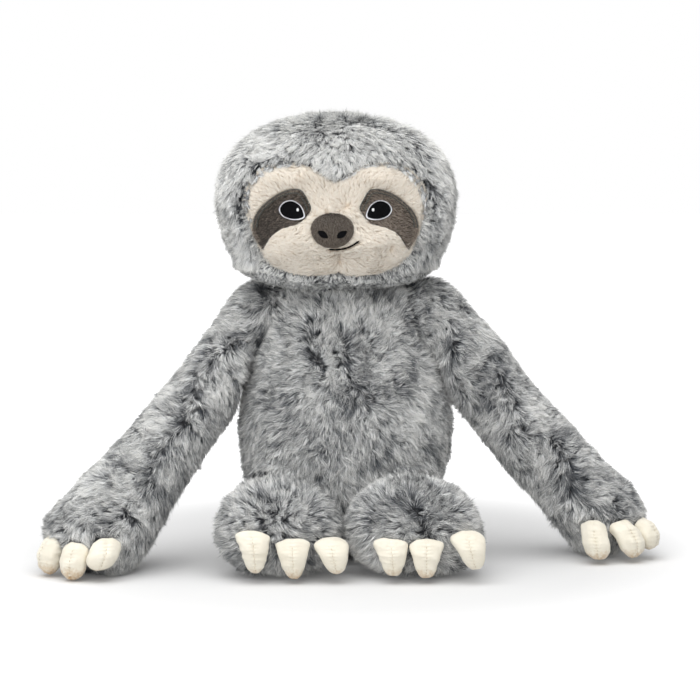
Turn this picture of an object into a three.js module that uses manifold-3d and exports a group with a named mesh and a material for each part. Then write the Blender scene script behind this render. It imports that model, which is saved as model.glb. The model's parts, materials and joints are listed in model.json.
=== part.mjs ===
// A seated plush sloth with long arms, made of separate sewn and stuffed pieces.
// Millimetres, +Z up. The origin is on the floor under the middle of the seat and the face looks along -Y.
// Left and right are the viewer's, so a piece whose name ends in _l lies on the -X side.
import * as THREE from "three";
import { mergeVertices } from "three/addons/utils/BufferGeometryUtils.js";
import Module from "manifold-3d";

const wasm = await Module();
wasm.setup();

// Fits and cloth
const GAP = 0.3; // between two pieces that touch
const PILE_GAP = 0.55; // between the face's short pile and what is sewn on it
const OVERRUN = 2; // a cutter reaches this far past what it cuts
const FLAT_DEPTH = 0.5; // how deep the underside is pressed flat by the floor
const FUR_WALL = 8; // long pile and its backing
const LINING = 4; // cloth of the pockets that the limbs and the neck sit in
const POCKET_ROOM = 2.4; // between a round root and its pocket, where the seam thread lies
const PASSING_GAP = 0.9; // between a limb and the body that it swings past
const MOUTH_RADIUS = 10; // opening at the bottom of a pocket, where stuffing passes
const THREAD = 0.6; // radius of the gathered seam thread
const WELD = 1e-4; // points closer than this are one

// Body
const BODY_HEIGHT = 170;
const BODY_HALF_WIDTH = 68.2;
const BODY_FRONT = 54;
const BODY_BACK = 64;
const BODY_POWER = 2.25;
// Shares of the height, half width, front and back, from the seat up
const BODY_SHARES = [
  [0, 0, 0, 0],
  [0, 0.47, 0.45, 0.55],
  [0.04, 0.71, 0.74, 0.84],
  [0.13, 0.82, 0.88, 0.96],
  [0.26, 0.91, 0.97, 1],
  [0.38, 0.985, 1, 1],
  [0.5, 1, 0.99, 0.985],
  [0.62, 0.94, 0.93, 0.93],
  [0.76, 0.85, 0.85, 0.83],
  [0.88, 0.77, 0.76, 0.72],
  [0.96, 0.65, 0.61, 0.58],
  [0.99, 0.4, 0.36, 0.36],
  [1, 0, 0, 0],
];

// Pellet bag that weights the seat
const BAG_HALF_WIDTH = 36;
const BAG_FRONT = 6;
const BAG_BACK = 40;
const BAG_HEIGHT = 17;
const BAG_LIFT = 1.2; // above the cover's floor
const BAG_POWER = 2.4;
const BAG_SHARES = [
  [0, 0, 0, 0],
  [0, 0.7, 0.7, 0.7],
  [0.3, 1, 1, 1],
  [0.75, 0.86, 0.86, 0.86],
  [1, 0.45, 0.45, 0.45],
  [1, 0, 0, 0],
];

// Head
const HEAD_X = -4.7;
const HEAD_BOTTOM = 172.5;
const HEAD_HEIGHT = 108;
const HEAD_HALF_WIDTH = 76;
const HEAD_FRONT = 61;
const HEAD_BACK = 53;
const HEAD_POWER = 2.3;
const HEAD_SHARES = [
  [0, 0, 0, 0],
  [0.008, 0.4, 0.46, 0.44],
  [0.045, 0.64, 0.72, 0.7],
  [0.12, 0.78, 0.88, 0.86],
  [0.25, 0.9, 0.965, 0.95],
  [0.38, 0.97, 1, 1],
  [0.52, 1, 0.995, 1],
  [0.65, 0.965, 0.95, 0.96],
  [0.77, 0.88, 0.855, 0.87],
  [0.87, 0.725, 0.7, 0.72],
  [0.95, 0.5, 0.47, 0.5],
  [0.99, 0.24, 0.22, 0.24],
  [1, 0, 0, 0],
];

// Neck
const NECK_RADIUS = 30;
const NECK_Y = 4;
const NECK_Z = 184;
const NECK_SEAM_ANGLE = 35;

// Arms
const SHOULDER_X = 54;
const SHOULDER_Z = 148;
const SHOULDER_RADIUS = 24;
const SHOULDER_SEAM_ANGLE = 50;
const ARM_LENGTH = 161; // shoulder to the middle of the paw
const PAW_HEIGHT = 28; // middle of the paw above the floor
const ARM_HEADING_L = 31; // degrees that the left arm reaches forward
const ARM_HEADING_R = 0;
// Ways that bring an arm nearest the body: degrees forward, and outward
const ARM_TURNS = [
  [0, 0],
  [-20, 0],
  [30, 0],
];
const ARM_HALF_WIDTH = 23.5;
const PAW_HALF_WIDTH = 29;
const PAW_END = 29.5; // from the middle of the paw to its end
const LEFT_PAW_SHARE = 1.1; // the left paw is stuffed fuller
const RIGHT_PAW_SHARE = 0.97;
// Shares of the arm's length and half width
const ARM_SHARES = [
  [0.16, 0.96, 0.94],
  [0.32, 0.98, 0.95],
  [0.5, 1.04, 1],
  [0.68, 1.09, 1.06],
];
// Shares of the paw's end and half width, on from the middle of the paw
const PAW_SHARES = [
  [-0.75, 0.92, 0.87],
  [-0.25, 1, 0.95],
  [0.3, 1, 0.97],
  [0.68, 0.87, 0.87],
  [0.92, 0.57, 0.6],
  [1, 0, 0],
];

// Legs, which point forward so that mostly the feet show
const HIP_X = 41;
const HIP_Y = -38;
const HIP_Z = 30;
const HIP_RADIUS = 26;
const HIP_SEAM_ANGLE = 38;
const FOOT_REACH = 58; // hip to the front of the foot
const FOOT_HALF_WIDTH = 40.3;
const FOOT_HALF_HEIGHT = 30.5;
const FOOT_POWER = 2.15;
// Ways that bring a leg nearest the body: degrees rolled about the foot's length, and raised
const LEG_TURNS = [
  [0, 0],
  [-15, 15],
  [15, 15],
  [-15, -30],
  [15, -30],
];
// Shares of the reach, half width and half height
const LEG_SHARES = [
  [0.26, 0.82, 0.93],
  [0.47, 0.97, 1],
  [0.66, 1, 1],
  [0.82, 0.9, 0.88],
  [0.91, 0.69, 0.68],
  [0.975, 0.37, 0.37],
  [1, 0, 0],
];

// Claws, three pouches on each limb: flat and tapering on the feet, round on the hands
const CLAWS = 3;
const FOOT_CLAW_HALF_WIDTH = 10.3;
const FOOT_CLAW_HALF_DEPTH = 5;
// Shares of the length, half width and half depth
const FOOT_CLAW_SHARES = [
  [0, 0, 0],
  [0.02, 0.6, 0.6],
  [0.22, 0.95, 0.9],
  [0.42, 1, 1],
  [0.66, 0.87, 0.95],
  [0.85, 0.68, 0.78],
  [0.95, 0.48, 0.52],
  [0.99, 0.28, 0.3],
  [1, 0, 0],
];
const HAND_CLAW_HALF_WIDTH = 8.6;
const HAND_CLAW_HALF_DEPTH = 6.2;
const HAND_CLAW_SHARES = [
  [0, 0, 0],
  [0.02, 0.6, 0.6],
  [0.2, 0.92, 0.9],
  [0.45, 0.96, 0.95],
  [0.7, 1, 1],
  [0.87, 0.87, 0.87],
  [0.96, 0.56, 0.56],
  [0.99, 0.32, 0.32],
  [1, 0, 0],
];
const FOOT_CLAW_PITCH = 22;
const FOOT_CLAW_SHIFT = 8.5; // the row sits toward +X on both feet
const FOOT_CLAW_ROOT_Y = -80;
const FOOT_CLAW_ROOT_Z = 24;
const FOOT_CLAW_KNEE_Y = -106;
const FOOT_CLAW_KNEE_Z = 29;
const FOOT_CLAW_TIP_Y = -97;
const FOOT_CLAW_TIP_Z = 2;
// How each claw strays from the row, from the left: its root and tip toward +X in shares of the pitch, and
// both upward in shares of the root's height
const FOOT_STRAY_SHARES = {
  l: [
    [0, 0.11, 0.2, 0.17],
    [0.08, 0.14, 0, 0.03],
    [0.07, 0.31, -0.1, 0.17],
  ],
  r: [
    [0, 0.12, 0, 0.1],
    [0, 0, 0, 0.04],
    [0, 0.34, 0.08, 0.27],
  ],
};
const HAND_CLAW_PITCH = 37; // degrees round the paw
const HAND_CLAW_TURN_L = -36; // degrees from the arm's heading to the middle claw
const HAND_CLAW_TURN_R = -66;
const HAND_CLAW_ROOT_OUT = 20;
const HAND_CLAW_ROOT_Z = 22;
const HAND_CLAW_KNEE_OUT = 42;
const HAND_CLAW_KNEE_Z = 21;
const HAND_CLAW_TIP_OUT = 36;
const HAND_CLAW_TIP_Z = 2;
// Degrees by which each claw's tip turns toward the arm's heading, from the outer claw
const HAND_CLAW_LEANS = { l: [0, 3, 15], r: [-4, 9, 10] };
// The tips' rise in shares of the knee's height
const HAND_LIFT_SHARES = { l: [0.04, -0.04, 0.34], r: [0.26, 0.1, 0.08] };

// Face
const FACE_Z = 214;
const FACE_HALF_WIDTH = 55;
const FACE_HALF_HEIGHT = 34.2;
const FACE_DROP = 5; // the short pile lies this far below the tips of the hood's fur
const MUZZLE_RISE = 6.5;
const MUZZLE_HALF_WIDTH = 33;
const MUZZLE_HALF_HEIGHT = 21;
const MUZZLE_DROP = 11; // middle of the muzzle below the middle of the face
// Shares of the half width and half height, from the forehead's point round the right side to the chin
const FACE_SHARES = [
  [0, 0.7],
  [0.14, 0.8],
  [0.27, 0.93],
  [0.42, 1],
  [0.6, 1],
  [0.77, 0.93],
  [0.91, 0.72],
  [0.985, 0.48],
  [1, 0.25],
  [0.955, 0.03],
  [0.925, -0.14],
  [0.88, -0.33],
  [0.82, -0.5],
  [0.77, -0.65],
  [0.66, -0.81],
  [0.5, -0.92],
  [0.3, -0.97],
  [0.13, -0.95],
  [0, -0.9],
];

// Eye patches
const PATCH_X = 33;
const PATCH_Z = 4;
const PATCH_HALF_WIDTH = 17;
const PATCH_HALF_HEIGHT = 17.4;
const PATCH_WALL = 1.2;
// Shares of the half sizes about the patch's middle, from its inner top corner outward
const PATCH_SHARES = [
  [-0.62, 0.88],
  [-0.25, 0.9],
  [0.2, 0.68],
  [0.58, 0.33],
  [0.84, -0.08],
  [0.93, -0.45],
  [0.92, -0.72],
  [0.78, -1.05],
  [0.62, -1.25],
  [0.35, -0.78],
  [-0.05, -0.52],
  [-0.42, -0.42],
  [-0.76, -0.16],
  [-1, 0.18],
  [-0.86, 0.6],
];

// Eyes, each a satin-stitched pad with a stitched rim and a glint
const EYE_X = 26.4;
const EYE_Z = 7.2;
const EYE_HALF_WIDTH = 7.4;
const EYE_HALF_HEIGHT = 5.5;
const EYE_RISE = 1.6;
const EYE_EDGE = 0.9;
const RIM_WIDTH = 1;
const RIM_RISE = 1.3;
// Shares about the eye's middle, from its inner lower corner
const EYE_SHARES = [
  [-1, -0.72],
  [-0.94, -0.1],
  [-0.62, 0.58],
  [0, 1],
  [0.66, 0.76],
  [1, 0.05],
  [0.72, -0.66],
  [0.05, -1],
  [-0.6, -0.98],
];
const GLINT_X = 22.8;
const GLINT_Z = 7.4;
const GLINT_HALF_WIDTH = 1.1;
const GLINT_HALF_HEIGHT = 1.4;
const GLINT_RISE = 0.6;

// An ellipse, in shares of its half sizes
const DISC_SHARES = [
  [1, 0],
  [0, 1],
  [-1, 0],
  [0, -1],
];

// Nose and mouth
const NOSE_X = -1.8;
const NOSE_Z = -5;
const NOSE_HALF_WIDTH = 12.4;
const NOSE_HALF_HEIGHT = 10;
const NOSE_RISE = 5.5;
const NOSE_EDGE = 2.2;
const NOSE_SHARES = [
  [0, 1],
  [0.5, 0.9],
  [0.9, 0.52],
  [1, 0.08],
  [0.86, -0.46],
  [0.5, -0.87],
  [0, -1],
];
const NOSTRIL_X = 5.6;
const NOSTRIL_Z = -2.1;
const NOSTRIL_HALF_WIDTH = 3.3;
const NOSTRIL_HALF_HEIGHT = 1.7;
const NOSTRIL_TILT = 28;
const NOSTRIL_RISE = 0.5;
const MOUTH_START_X = -4;
const MOUTH_START_Z = -16.2;
const MOUTH_DIP_X = 5;
const MOUTH_DIP_Z = -17.6;
const MOUTH_END_X = 13.8;
const MOUTH_END_Z = -11.8;
const MOUTH_THREAD = 0.6;

// Limb roots: shares of the turn from the root's back to where the limb leaves it
const ROOT_SHARES = [0, 0.22, 0.44, 0.66, 0.86, 1];
const ROOT_LEAVE_MOST = 75; // degrees

// Curves and mesh fineness
const ROW_TENSION = 0.45;
const OUTLINE_TENSION = 0.5;
const SLOPE_STEP = 1e-3; // share of a form over which its slope is taken
const HALVINGS = 30; // of the search for the head's front
const BODY_SIDES = 22;
const BODY_RINGS = 14;
const HOLLOW_SIDES = 16;
const HOLLOW_RINGS = 9;
const LIMB_SIDES = 14;
const LIMB_RINGS = 14;
const LIMB_HOLLOW_SIDES = 10;
const LIMB_HOLLOW_RINGS = 8;
const POCKET_SIDES = 18;
const LINING_SIDES = 12;
const BAG_SIDES = 12;
const BAG_RINGS = 6;
const SEAM_SIDES = 16;
const SEAM_FACETS = 5;
const CLAW_SIDES = 8;
const CLAW_RINGS = 8;
const FACE_SIDES = 32;
const PANEL_SHARES = [0.26, 0.5, 0.7, 0.86, 1];
const HOLE_SHARES = [0.5, 1];
const PATCH_SIDES = 22;
const PATCH_RING_SHARES = [0.35, 0.7, 1];
const EYE_SIDES = 14;
const EYE_RING_SHARES = [0.6, 1];
const NOSE_SIDES = 16;
const NOSE_RING_SHARES = [0.5, 0.82, 1];
const GLINT_SIDES = 8;
const GLINT_RING_SHARES = [1];
const NOSTRIL_RING_SHARES = [0.5, 1];
const MOUTH_STEPS = 8;

const FUR = new THREE.MeshStandardMaterial({ color: 0x8d9297, roughness: 0.9 });
const STUFFING = new THREE.MeshStandardMaterial({ color: 0xf4f3ee, roughness: 0.9 });
const CREAM = new THREE.MeshStandardMaterial({ color: 0xe6dccd, roughness: 0.88 });
const TAUPE = new THREE.MeshStandardMaterial({ color: 0x5d534c, roughness: 0.85 });
const BLACK = new THREE.MeshStandardMaterial({ color: 0x0c0c0d, roughness: 0.45 });
const WHITE = new THREE.MeshStandardMaterial({ color: 0xf2f2f4, roughness: 0.5 });
const CLAW_CLOTH = new THREE.MeshStandardMaterial({ color: 0xeee7d3, roughness: 0.85 });
const SEAM_THREAD = new THREE.MeshStandardMaterial({ color: 0x6f7378, roughness: 0.7 });
const BAG_CLOTH = new THREE.MeshStandardMaterial({ color: 0xd9d6cc, roughness: 0.85 });

const X = new THREE.Vector3(1, 0, 0);
const Y = new THREE.Vector3(0, 1, 0);
const Z = new THREE.Vector3(0, 0, 1);
const radians = THREE.MathUtils.degToRad;

const sloth = new THREE.Group();

// Closed meshes and solids

function meshOf(points, faces) {
  const geometry = new THREE.BufferGeometry();
  const places = points.flatMap((point) => point.toArray());
  geometry.setAttribute("position", new THREE.Float32BufferAttribute(places, 3));
  geometry.setIndex(faces.flat());
  return geometry;
}

function solidOf(geometry, matrix = new THREE.Matrix4()) {
  const bare = geometry.clone().applyMatrix4(matrix);
  bare.deleteAttribute("normal");
  bare.deleteAttribute("uv");
  const merged = mergeVertices(bare, WELD);
  const vertProperties = Float32Array.from(merged.attributes.position.array);
  const triVerts = Uint32Array.from(merged.index.array);
  const mesh = new wasm.Mesh({ numProp: 3, vertProperties, triVerts });
  return new wasm.Manifold(mesh);
}

function geometryOf(solid) {
  const mesh = solid.getMesh();
  const geometry = new THREE.BufferGeometry();
  geometry.setAttribute("position", new THREE.Float32BufferAttribute(mesh.vertProperties, 3));
  geometry.setIndex(Array.from(mesh.triVerts));
  return geometry;
}

function put(name, solid, material) {
  const mesh = new THREE.Mesh(geometryOf(solid), material);
  mesh.name = name;
  sloth.add(mesh);
  return mesh;
}

// Swelling forms: rings of rounded section along a spine, closed at both ends

// Reads a table of rows as one smooth curve for each column
function smoothRows(rows) {
  const columns = rows[0].map((_, i) => rows.map((row) => row[i]));
  const triples = [];
  for (let i = 0; i < columns.length; i += 3) {
    const points = rows.map((row) => new THREE.Vector3(row[i], row[i + 1] ?? 0, row[i + 2] ?? 0));
    triples.push(new THREE.CatmullRomCurve3(points, false, "catmullrom", ROW_TENSION));
  }
  return (v) => triples.flatMap((curve) => curve.getPoint(v).toArray());
}

function roundPower(value, power) {
  return Math.sign(value) * Math.abs(value) ** (2 / power);
}

// at(v) gives the ring's middle, its two half sizes and their directions
function form(at, power, ends) {
  const point = (u, v) => {
    const ring = at(v);
    const angle = u * 2 * Math.PI;
    return ring.middle
      .clone()
      .addScaledVector(ring.wide, ring.halfWide * roundPower(Math.cos(angle), power))
      .addScaledVector(ring.deep, ring.halfDeep * roundPower(Math.sin(angle), power));
  };
  const normal = (u, v) => {
    const around = point(u + SLOPE_STEP, v).sub(point(u - SLOPE_STEP, v));
    const along = point(u, v + SLOPE_STEP).sub(point(u, v - SLOPE_STEP));
    return around.cross(along).normalize();
  };
  return { at, point, normal, ends };
}

// The closed skin of a form, drawn in along its normals by inset
function skin(shape, sides, rings, inset = 0) {
  const points = [shape.at(0).middle.clone().addScaledVector(shape.ends[0], -inset)];
  for (let j = 1; j < rings; j += 1) {
    for (let i = 0; i < sides; i += 1) {
      const u = (i + 0.5) / sides;
      const v = j / rings;
      points.push(shape.point(u, v).addScaledVector(shape.normal(u, v), -inset));
    }
  }
  points.push(shape.at(1).middle.clone().addScaledVector(shape.ends[1], -inset));
  const last = points.length - 1;
  const faces = [];
  for (let i = 0; i < sides; i += 1) {
    const next = (i + 1) % sides;
    faces.push([0, 1 + next, 1 + i]);
    faces.push([last, last - sides + i, last - sides + next]);
    for (let j = 0; j < rings - 2; j += 1) {
      const low = 1 + j * sides;
      const high = low + sides;
      faces.push([low + i, low + next, high + next]);
      faces.push([low + i, high + next, high + i]);
    }
  }
  return solidOf(meshOf(points, faces));
}

// A standing form such as the body, whose front and back swell by their own amounts
function standingForm(shares, place, size, power) {
  const row = smoothRows(shares);
  const at = (v) => {
    const [rise, across, front, back] = row(v);
    const ahead = front * size.front;
    const behind = back * size.back;
    return {
      middle: new THREE.Vector3(place.x, place.y + (behind - ahead) / 2, place.z + rise * size.height),
      wide: X,
      deep: Y,
      halfWide: across * size.halfWidth,
      halfDeep: (ahead + behind) / 2,
    };
  };
  return form(at, power, [Z.clone().negate(), Z]);
}

// A limb: a round root about its pivot, then rows of distance, half width and half depth
function limbForm(pivot, heading, wide, rootRadius, rows, power) {
  const neck = Math.asin(Math.min(1, rows[0][1] / rootRadius));
  const leave = Math.PI - Math.min(neck, radians(ROOT_LEAVE_MOST));
  const root = ROOT_SHARES.map((share) => {
    const turn = share * leave;
    return [-rootRadius * Math.cos(turn), rootRadius * Math.sin(turn), rootRadius * Math.sin(turn)];
  });
  const row = smoothRows([...root, ...rows]);
  const deep = heading.clone().cross(wide).normalize();
  const at = (v) => {
    const [reach, halfWide, halfDeep] = row(v);
    return { middle: pivot.clone().addScaledVector(heading, reach), wide, deep, halfWide, halfDeep };
  };
  return form(at, power, [heading.clone().negate(), heading]);
}

// A claw: a pouch that follows a bent spine
function clawForm(root, knee, tip, wide, size) {
  const spine = new THREE.QuadraticBezierCurve3(root, knee, tip);
  const row = smoothRows(size.shares);
  const at = (v) => {
    const [along, across, thick] = row(v);
    const share = Math.min(1, Math.max(0, along));
    return {
      middle: spine.getPoint(share),
      wide,
      deep: spine.getTangent(share).cross(wide).normalize(),
      halfWide: across * size.halfWide,
      halfDeep: thick * size.halfDeep,
    };
  };
  return form(at, 2, [spine.getTangent(0).negate(), spine.getTangent(1)]);
}

// Everything below the floor
function belowFloor() {
  const side = 2 * (ARM_LENGTH + SHOULDER_X + BODY_HALF_WIDTH);
  const block = new THREE.BoxGeometry(side, side, side);
  return solidOf(block, new THREE.Matrix4().makeTranslation(0, 0, -side / 2));
}

const FLOOR = belowFloor();

// The joints between body and limbs: each is a round root in a lined pocket with a seam thread at its bottom

function alignedTo(direction, place) {
  const turn = new THREE.Quaternion().setFromUnitVectors(Z, direction);
  return new THREE.Matrix4().compose(place, turn, new THREE.Vector3(1, 1, 1));
}

function ball(centre, radius, sides) {
  const sphere = new THREE.SphereGeometry(radius, sides, sides / 2);
  return solidOf(sphere, new THREE.Matrix4().makeTranslation(centre.x, centre.y, centre.z));
}

// inward points from the limb's pivot to the bottom of its pocket
function seat(name, pivot, inward, radius, seamAngle) {
  const seamReach = radius + GAP + THREAD;
  const seamRadius = seamReach * Math.sin(radians(seamAngle));
  const seamPlace = pivot.clone().addScaledVector(inward, seamReach * Math.cos(radians(seamAngle)));
  const ring = new THREE.TorusGeometry(seamRadius, THREAD, SEAM_FACETS, SEAM_SIDES);
  const bore = radius + POCKET_ROOM + LINING + OVERRUN;
  const mouthPlace = pivot.clone().addScaledVector(inward, bore / 2);
  const upright = new THREE.CylinderGeometry(MOUTH_RADIUS, MOUTH_RADIUS, bore, LINING_SIDES);
  upright.rotateX(Math.PI / 2);
  return {
    name,
    pivot,
    radius,
    thread: solidOf(ring, alignedTo(inward, seamPlace)),
    pocket: ball(pivot, radius + POCKET_ROOM, POCKET_SIDES),
    rootClear: ball(pivot, radius + PASSING_GAP, POCKET_SIDES),
    lining: ball(pivot, radius + POCKET_ROOM + LINING, LINING_SIDES),
    liningClear: ball(pivot, radius + POCKET_ROOM + LINING + GAP, LINING_SIDES),
    mouth: solidOf(upright, alignedTo(inward, mouthPlace)),
  };
}

const SIDES = [
  { tag: "l", sign: -1, heading: ARM_HEADING_L, pawShare: LEFT_PAW_SHARE, clawTurn: HAND_CLAW_TURN_L },
  { tag: "r", sign: 1, heading: ARM_HEADING_R, pawShare: RIGHT_PAW_SHARE, clawTurn: HAND_CLAW_TURN_R },
];

function shoulderPoint(side) {
  return new THREE.Vector3(side.sign * SHOULDER_X, 0, SHOULDER_Z);
}

function hipPoint(side) {
  return new THREE.Vector3(side.sign * HIP_X, HIP_Y, HIP_Z);
}

const neckSeat = seat(
  "neck_seam",
  new THREE.Vector3(HEAD_X, NECK_Y, NECK_Z),
  Z.clone().negate(),
  NECK_RADIUS,
  NECK_SEAM_ANGLE,
);
const shoulderSeats = SIDES.map((side) =>
  seat(
    `shoulder_seam_${side.tag}`,
    shoulderPoint(side),
    X.clone().multiplyScalar(-side.sign),
    SHOULDER_RADIUS,
    SHOULDER_SEAM_ANGLE,
  ),
);
const hipSeats = SIDES.map((side) =>
  seat(`hip_seam_${side.tag}`, hipPoint(side), Y.clone(), HIP_RADIUS, HIP_SEAM_ANGLE),
);
const seats = [neckSeat, ...shoulderSeats, ...hipSeats];

function takeAway(solid, cutters) {
  return cutters.reduce((rest, cutter) => rest.subtract(cutter), solid);
}

for (const joint of seats) {
  put(joint.name, joint.thread, SEAM_THREAD);
}

// Body: a fur cover with five lined pockets, its stuffing and the pellet bag in the seat

const bodyPlace = new THREE.Vector3(0, 0, -FLAT_DEPTH);
const bodySize = {
  height: BODY_HEIGHT + FLAT_DEPTH,
  halfWidth: BODY_HALF_WIDTH,
  front: BODY_FRONT,
  back: BODY_BACK,
};
const bodyForm = standingForm(BODY_SHARES, bodyPlace, bodySize, BODY_POWER);

// The space that a limb keeps clear of: the body grown by a clearance, less the limb's own pocket
function bodyClear(clearance, joint) {
  return skin(bodyForm, BODY_SIDES, BODY_RINGS, -clearance).subtract(joint.rootClear);
}

function makeBody() {
  const outer = skin(bodyForm, BODY_SIDES, BODY_RINGS);
  const hollow = takeAway(
    skin(bodyForm, HOLLOW_SIDES, HOLLOW_RINGS, FUR_WALL),
    seats.map((joint) => joint.lining),
  );
  const cutters = [
    hollow,
    ...seats.map((joint) => joint.pocket),
    ...seats.map((joint) => joint.mouth),
    FLOOR,
  ];
  put("body_cover", takeAway(outer, cutters), FUR);

  const bagPlace = new THREE.Vector3(0, 0, FUR_WALL - FLAT_DEPTH + BAG_LIFT);
  const bagSize = { height: BAG_HEIGHT, halfWidth: BAG_HALF_WIDTH, front: BAG_FRONT, back: BAG_BACK };
  const bagForm = standingForm(BAG_SHARES, bagPlace, bagSize, BAG_POWER);
  put("seat_pellet_bag", skin(bagForm, BAG_SIDES, BAG_RINGS), BAG_CLOTH);

  // The stuffing is open below round the bag
  const bagHole = skin(bagForm, BAG_SIDES, BAG_RINGS, -GAP);
  const bagWell = bagHole.add(bagHole.translate([0, 0, -FUR_WALL]));
  const stuffing = takeAway(skin(bodyForm, HOLLOW_SIDES, HOLLOW_RINGS, FUR_WALL + GAP), [
    ...seats.map((joint) => joint.liningClear),
    bagWell,
  ]);
  put("body_stuffing", stuffing, STUFFING);
}

makeBody();

// Head: a fur hood with a face opening, its stuffing and the neck's round root

const headPlace = new THREE.Vector3(HEAD_X, 0, HEAD_BOTTOM);
const headSize = { height: HEAD_HEIGHT, halfWidth: HEAD_HALF_WIDTH, front: HEAD_FRONT, back: HEAD_BACK };
const headForm = standingForm(HEAD_SHARES, headPlace, headSize, HEAD_POWER);

// The y of the head's front at a place of the face
function headFront(x, z) {
  let low = 0;
  let high = 1;
  for (let i = 0; i < HALVINGS; i += 1) {
    const middle = (low + high) / 2;
    if (headForm.at(middle).middle.z < z) {
      low = middle;
    } else {
      high = middle;
    }
  }
  const ring = headForm.at((low + high) / 2);
  const share = Math.min(1, Math.abs((x - ring.middle.x) / ring.halfWide));
  return ring.middle.y - ring.halfDeep * (1 - share ** HEAD_POWER) ** (1 / HEAD_POWER);
}

function muzzleRise(x, z) {
  const across = (x - HEAD_X) / MUZZLE_HALF_WIDTH;
  const up = (z - FACE_Z + MUZZLE_DROP) / MUZZLE_HALF_HEIGHT;
  return MUZZLE_RISE * Math.exp(-(across ** 2) - up ** 2);
}

function panelFront(x, z) {
  return headFront(x, z) + FACE_DROP - muzzleRise(x, z);
}

// A closed outline about a middle; mirrored fills in the left half of a symmetrical one
function outline(shares, middle, halfWidth, halfHeight, sign = 1, mirrored = false) {
  const rest = mirrored ? shares.slice(1, -1).reverse() : [];
  const all = [...shares, ...rest.map(([across, up]) => [-across, up])];
  const points = all.map(
    ([across, up]) =>
      new THREE.Vector3(middle.x + sign * across * halfWidth, 0, middle.z + up * halfHeight),
  );
  return { curve: new THREE.CatmullRomCurve3(points, true, "catmullrom", OUTLINE_TENSION), middle };
}

// A sheet inside an outline. front and back give the y of its two faces at a place and a share of the
// way out from the middle; a sheet with a hole starts at the first share.
function drape(edge, sides, shares, front, back, margin = 0, hole = false) {
  const rim = edge.curve.getPoints(sides).slice(0, sides);
  const place = (spot, share, depth) => {
    const way = spot.clone().sub(edge.middle);
    const reach = way.length();
    const out = edge.middle.clone().addScaledVector(way, (share * (reach + margin)) / reach);
    return new THREE.Vector3(out.x, depth(out.x, out.z, share), out.z);
  };
  const rings = [
    ...shares.map((share) => ({ share, depth: front })),
    ...[...shares].reverse().map((share) => ({ share, depth: back })),
  ];
  const points = rings.flatMap(({ share, depth }) => rim.map((spot) => place(spot, share, depth)));
  const faces = [];
  const strips = hole ? rings.length : rings.length - 1;
  for (let j = 0; j < strips; j += 1) {
    const low = j * sides;
    const high = ((j + 1) % rings.length) * sides;
    for (let i = 0; i < sides; i += 1) {
      const next = (i + 1) % sides;
      faces.push([low + i, high + i, high + next]);
      faces.push([low + i, high + next, low + next]);
    }
  }
  if (!hole) {
    const middles = [place(rim[0], 0, front), place(rim[0], 0, back)];
    const starts = [0, (rings.length - 1) * sides];
    const tips = [points.length, points.length + 1];
    points.push(...middles);
    for (let i = 0; i < sides; i += 1) {
      const next = (i + 1) % sides;
      faces.push([tips[0], starts[0] + i, starts[0] + next]);
      faces.push([tips[1], starts[1] + next, starts[1] + i]);
    }
  }
  return solidFacingOut(points, faces);
}

// Turns the faces over if the mesh came out inside out
function solidFacingOut(points, faces) {
  const volume = faces.reduce((sum, [a, b, c]) => {
    const cross = points[b].clone().cross(points[c]);
    return sum + points[a].dot(cross);
  }, 0);
  const outward = volume > 0 ? faces : faces.map(([a, b, c]) => [a, c, b]);
  return solidOf(meshOf(points, outward));
}

const faceMiddle = new THREE.Vector3(HEAD_X, 0, FACE_Z);
const faceOutline = outline(FACE_SHARES, faceMiddle, FACE_HALF_WIDTH, FACE_HALF_HEIGHT, 1, true);

function makeHead() {
  const root = ball(neckSeat.pivot, NECK_RADIUS, POCKET_SIDES);
  const outer = skin(headForm, BODY_SIDES, BODY_RINGS).add(root);
  const hollowRoot = (inset) => ball(neckSeat.pivot, NECK_RADIUS - inset, LINING_SIDES);
  const hollow = skin(headForm, HOLLOW_SIDES, HOLLOW_RINGS, FUR_WALL).add(hollowRoot(FUR_WALL));
  const ahead = (x, z) => headFront(x, z) - HEAD_FRONT;
  const inside = (x, z) => headFront(x, z) + FUR_WALL + OVERRUN;
  const faceHole = drape(faceOutline, FACE_SIDES, HOLE_SHARES, ahead, inside, GAP);
  put("head_cover", takeAway(outer, [hollow, faceHole, neckSeat.mouth]), FUR);

  const inset = FUR_WALL + GAP;
  const stuffing = skin(headForm, HOLLOW_SIDES, HOLLOW_RINGS, inset).add(hollowRoot(inset));
  put("head_stuffing", stuffing, STUFFING);
}

makeHead();

// Face: each piece lies on the one below it, and mirrored pieces take the sign of their side

function facePoint(x, z) {
  return new THREE.Vector3(HEAD_X + x, 0, FACE_Z + z);
}

function dome(share, edge, rise) {
  return edge + (rise - edge) * Math.sqrt(Math.max(0, 1 - share ** 2));
}

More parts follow.
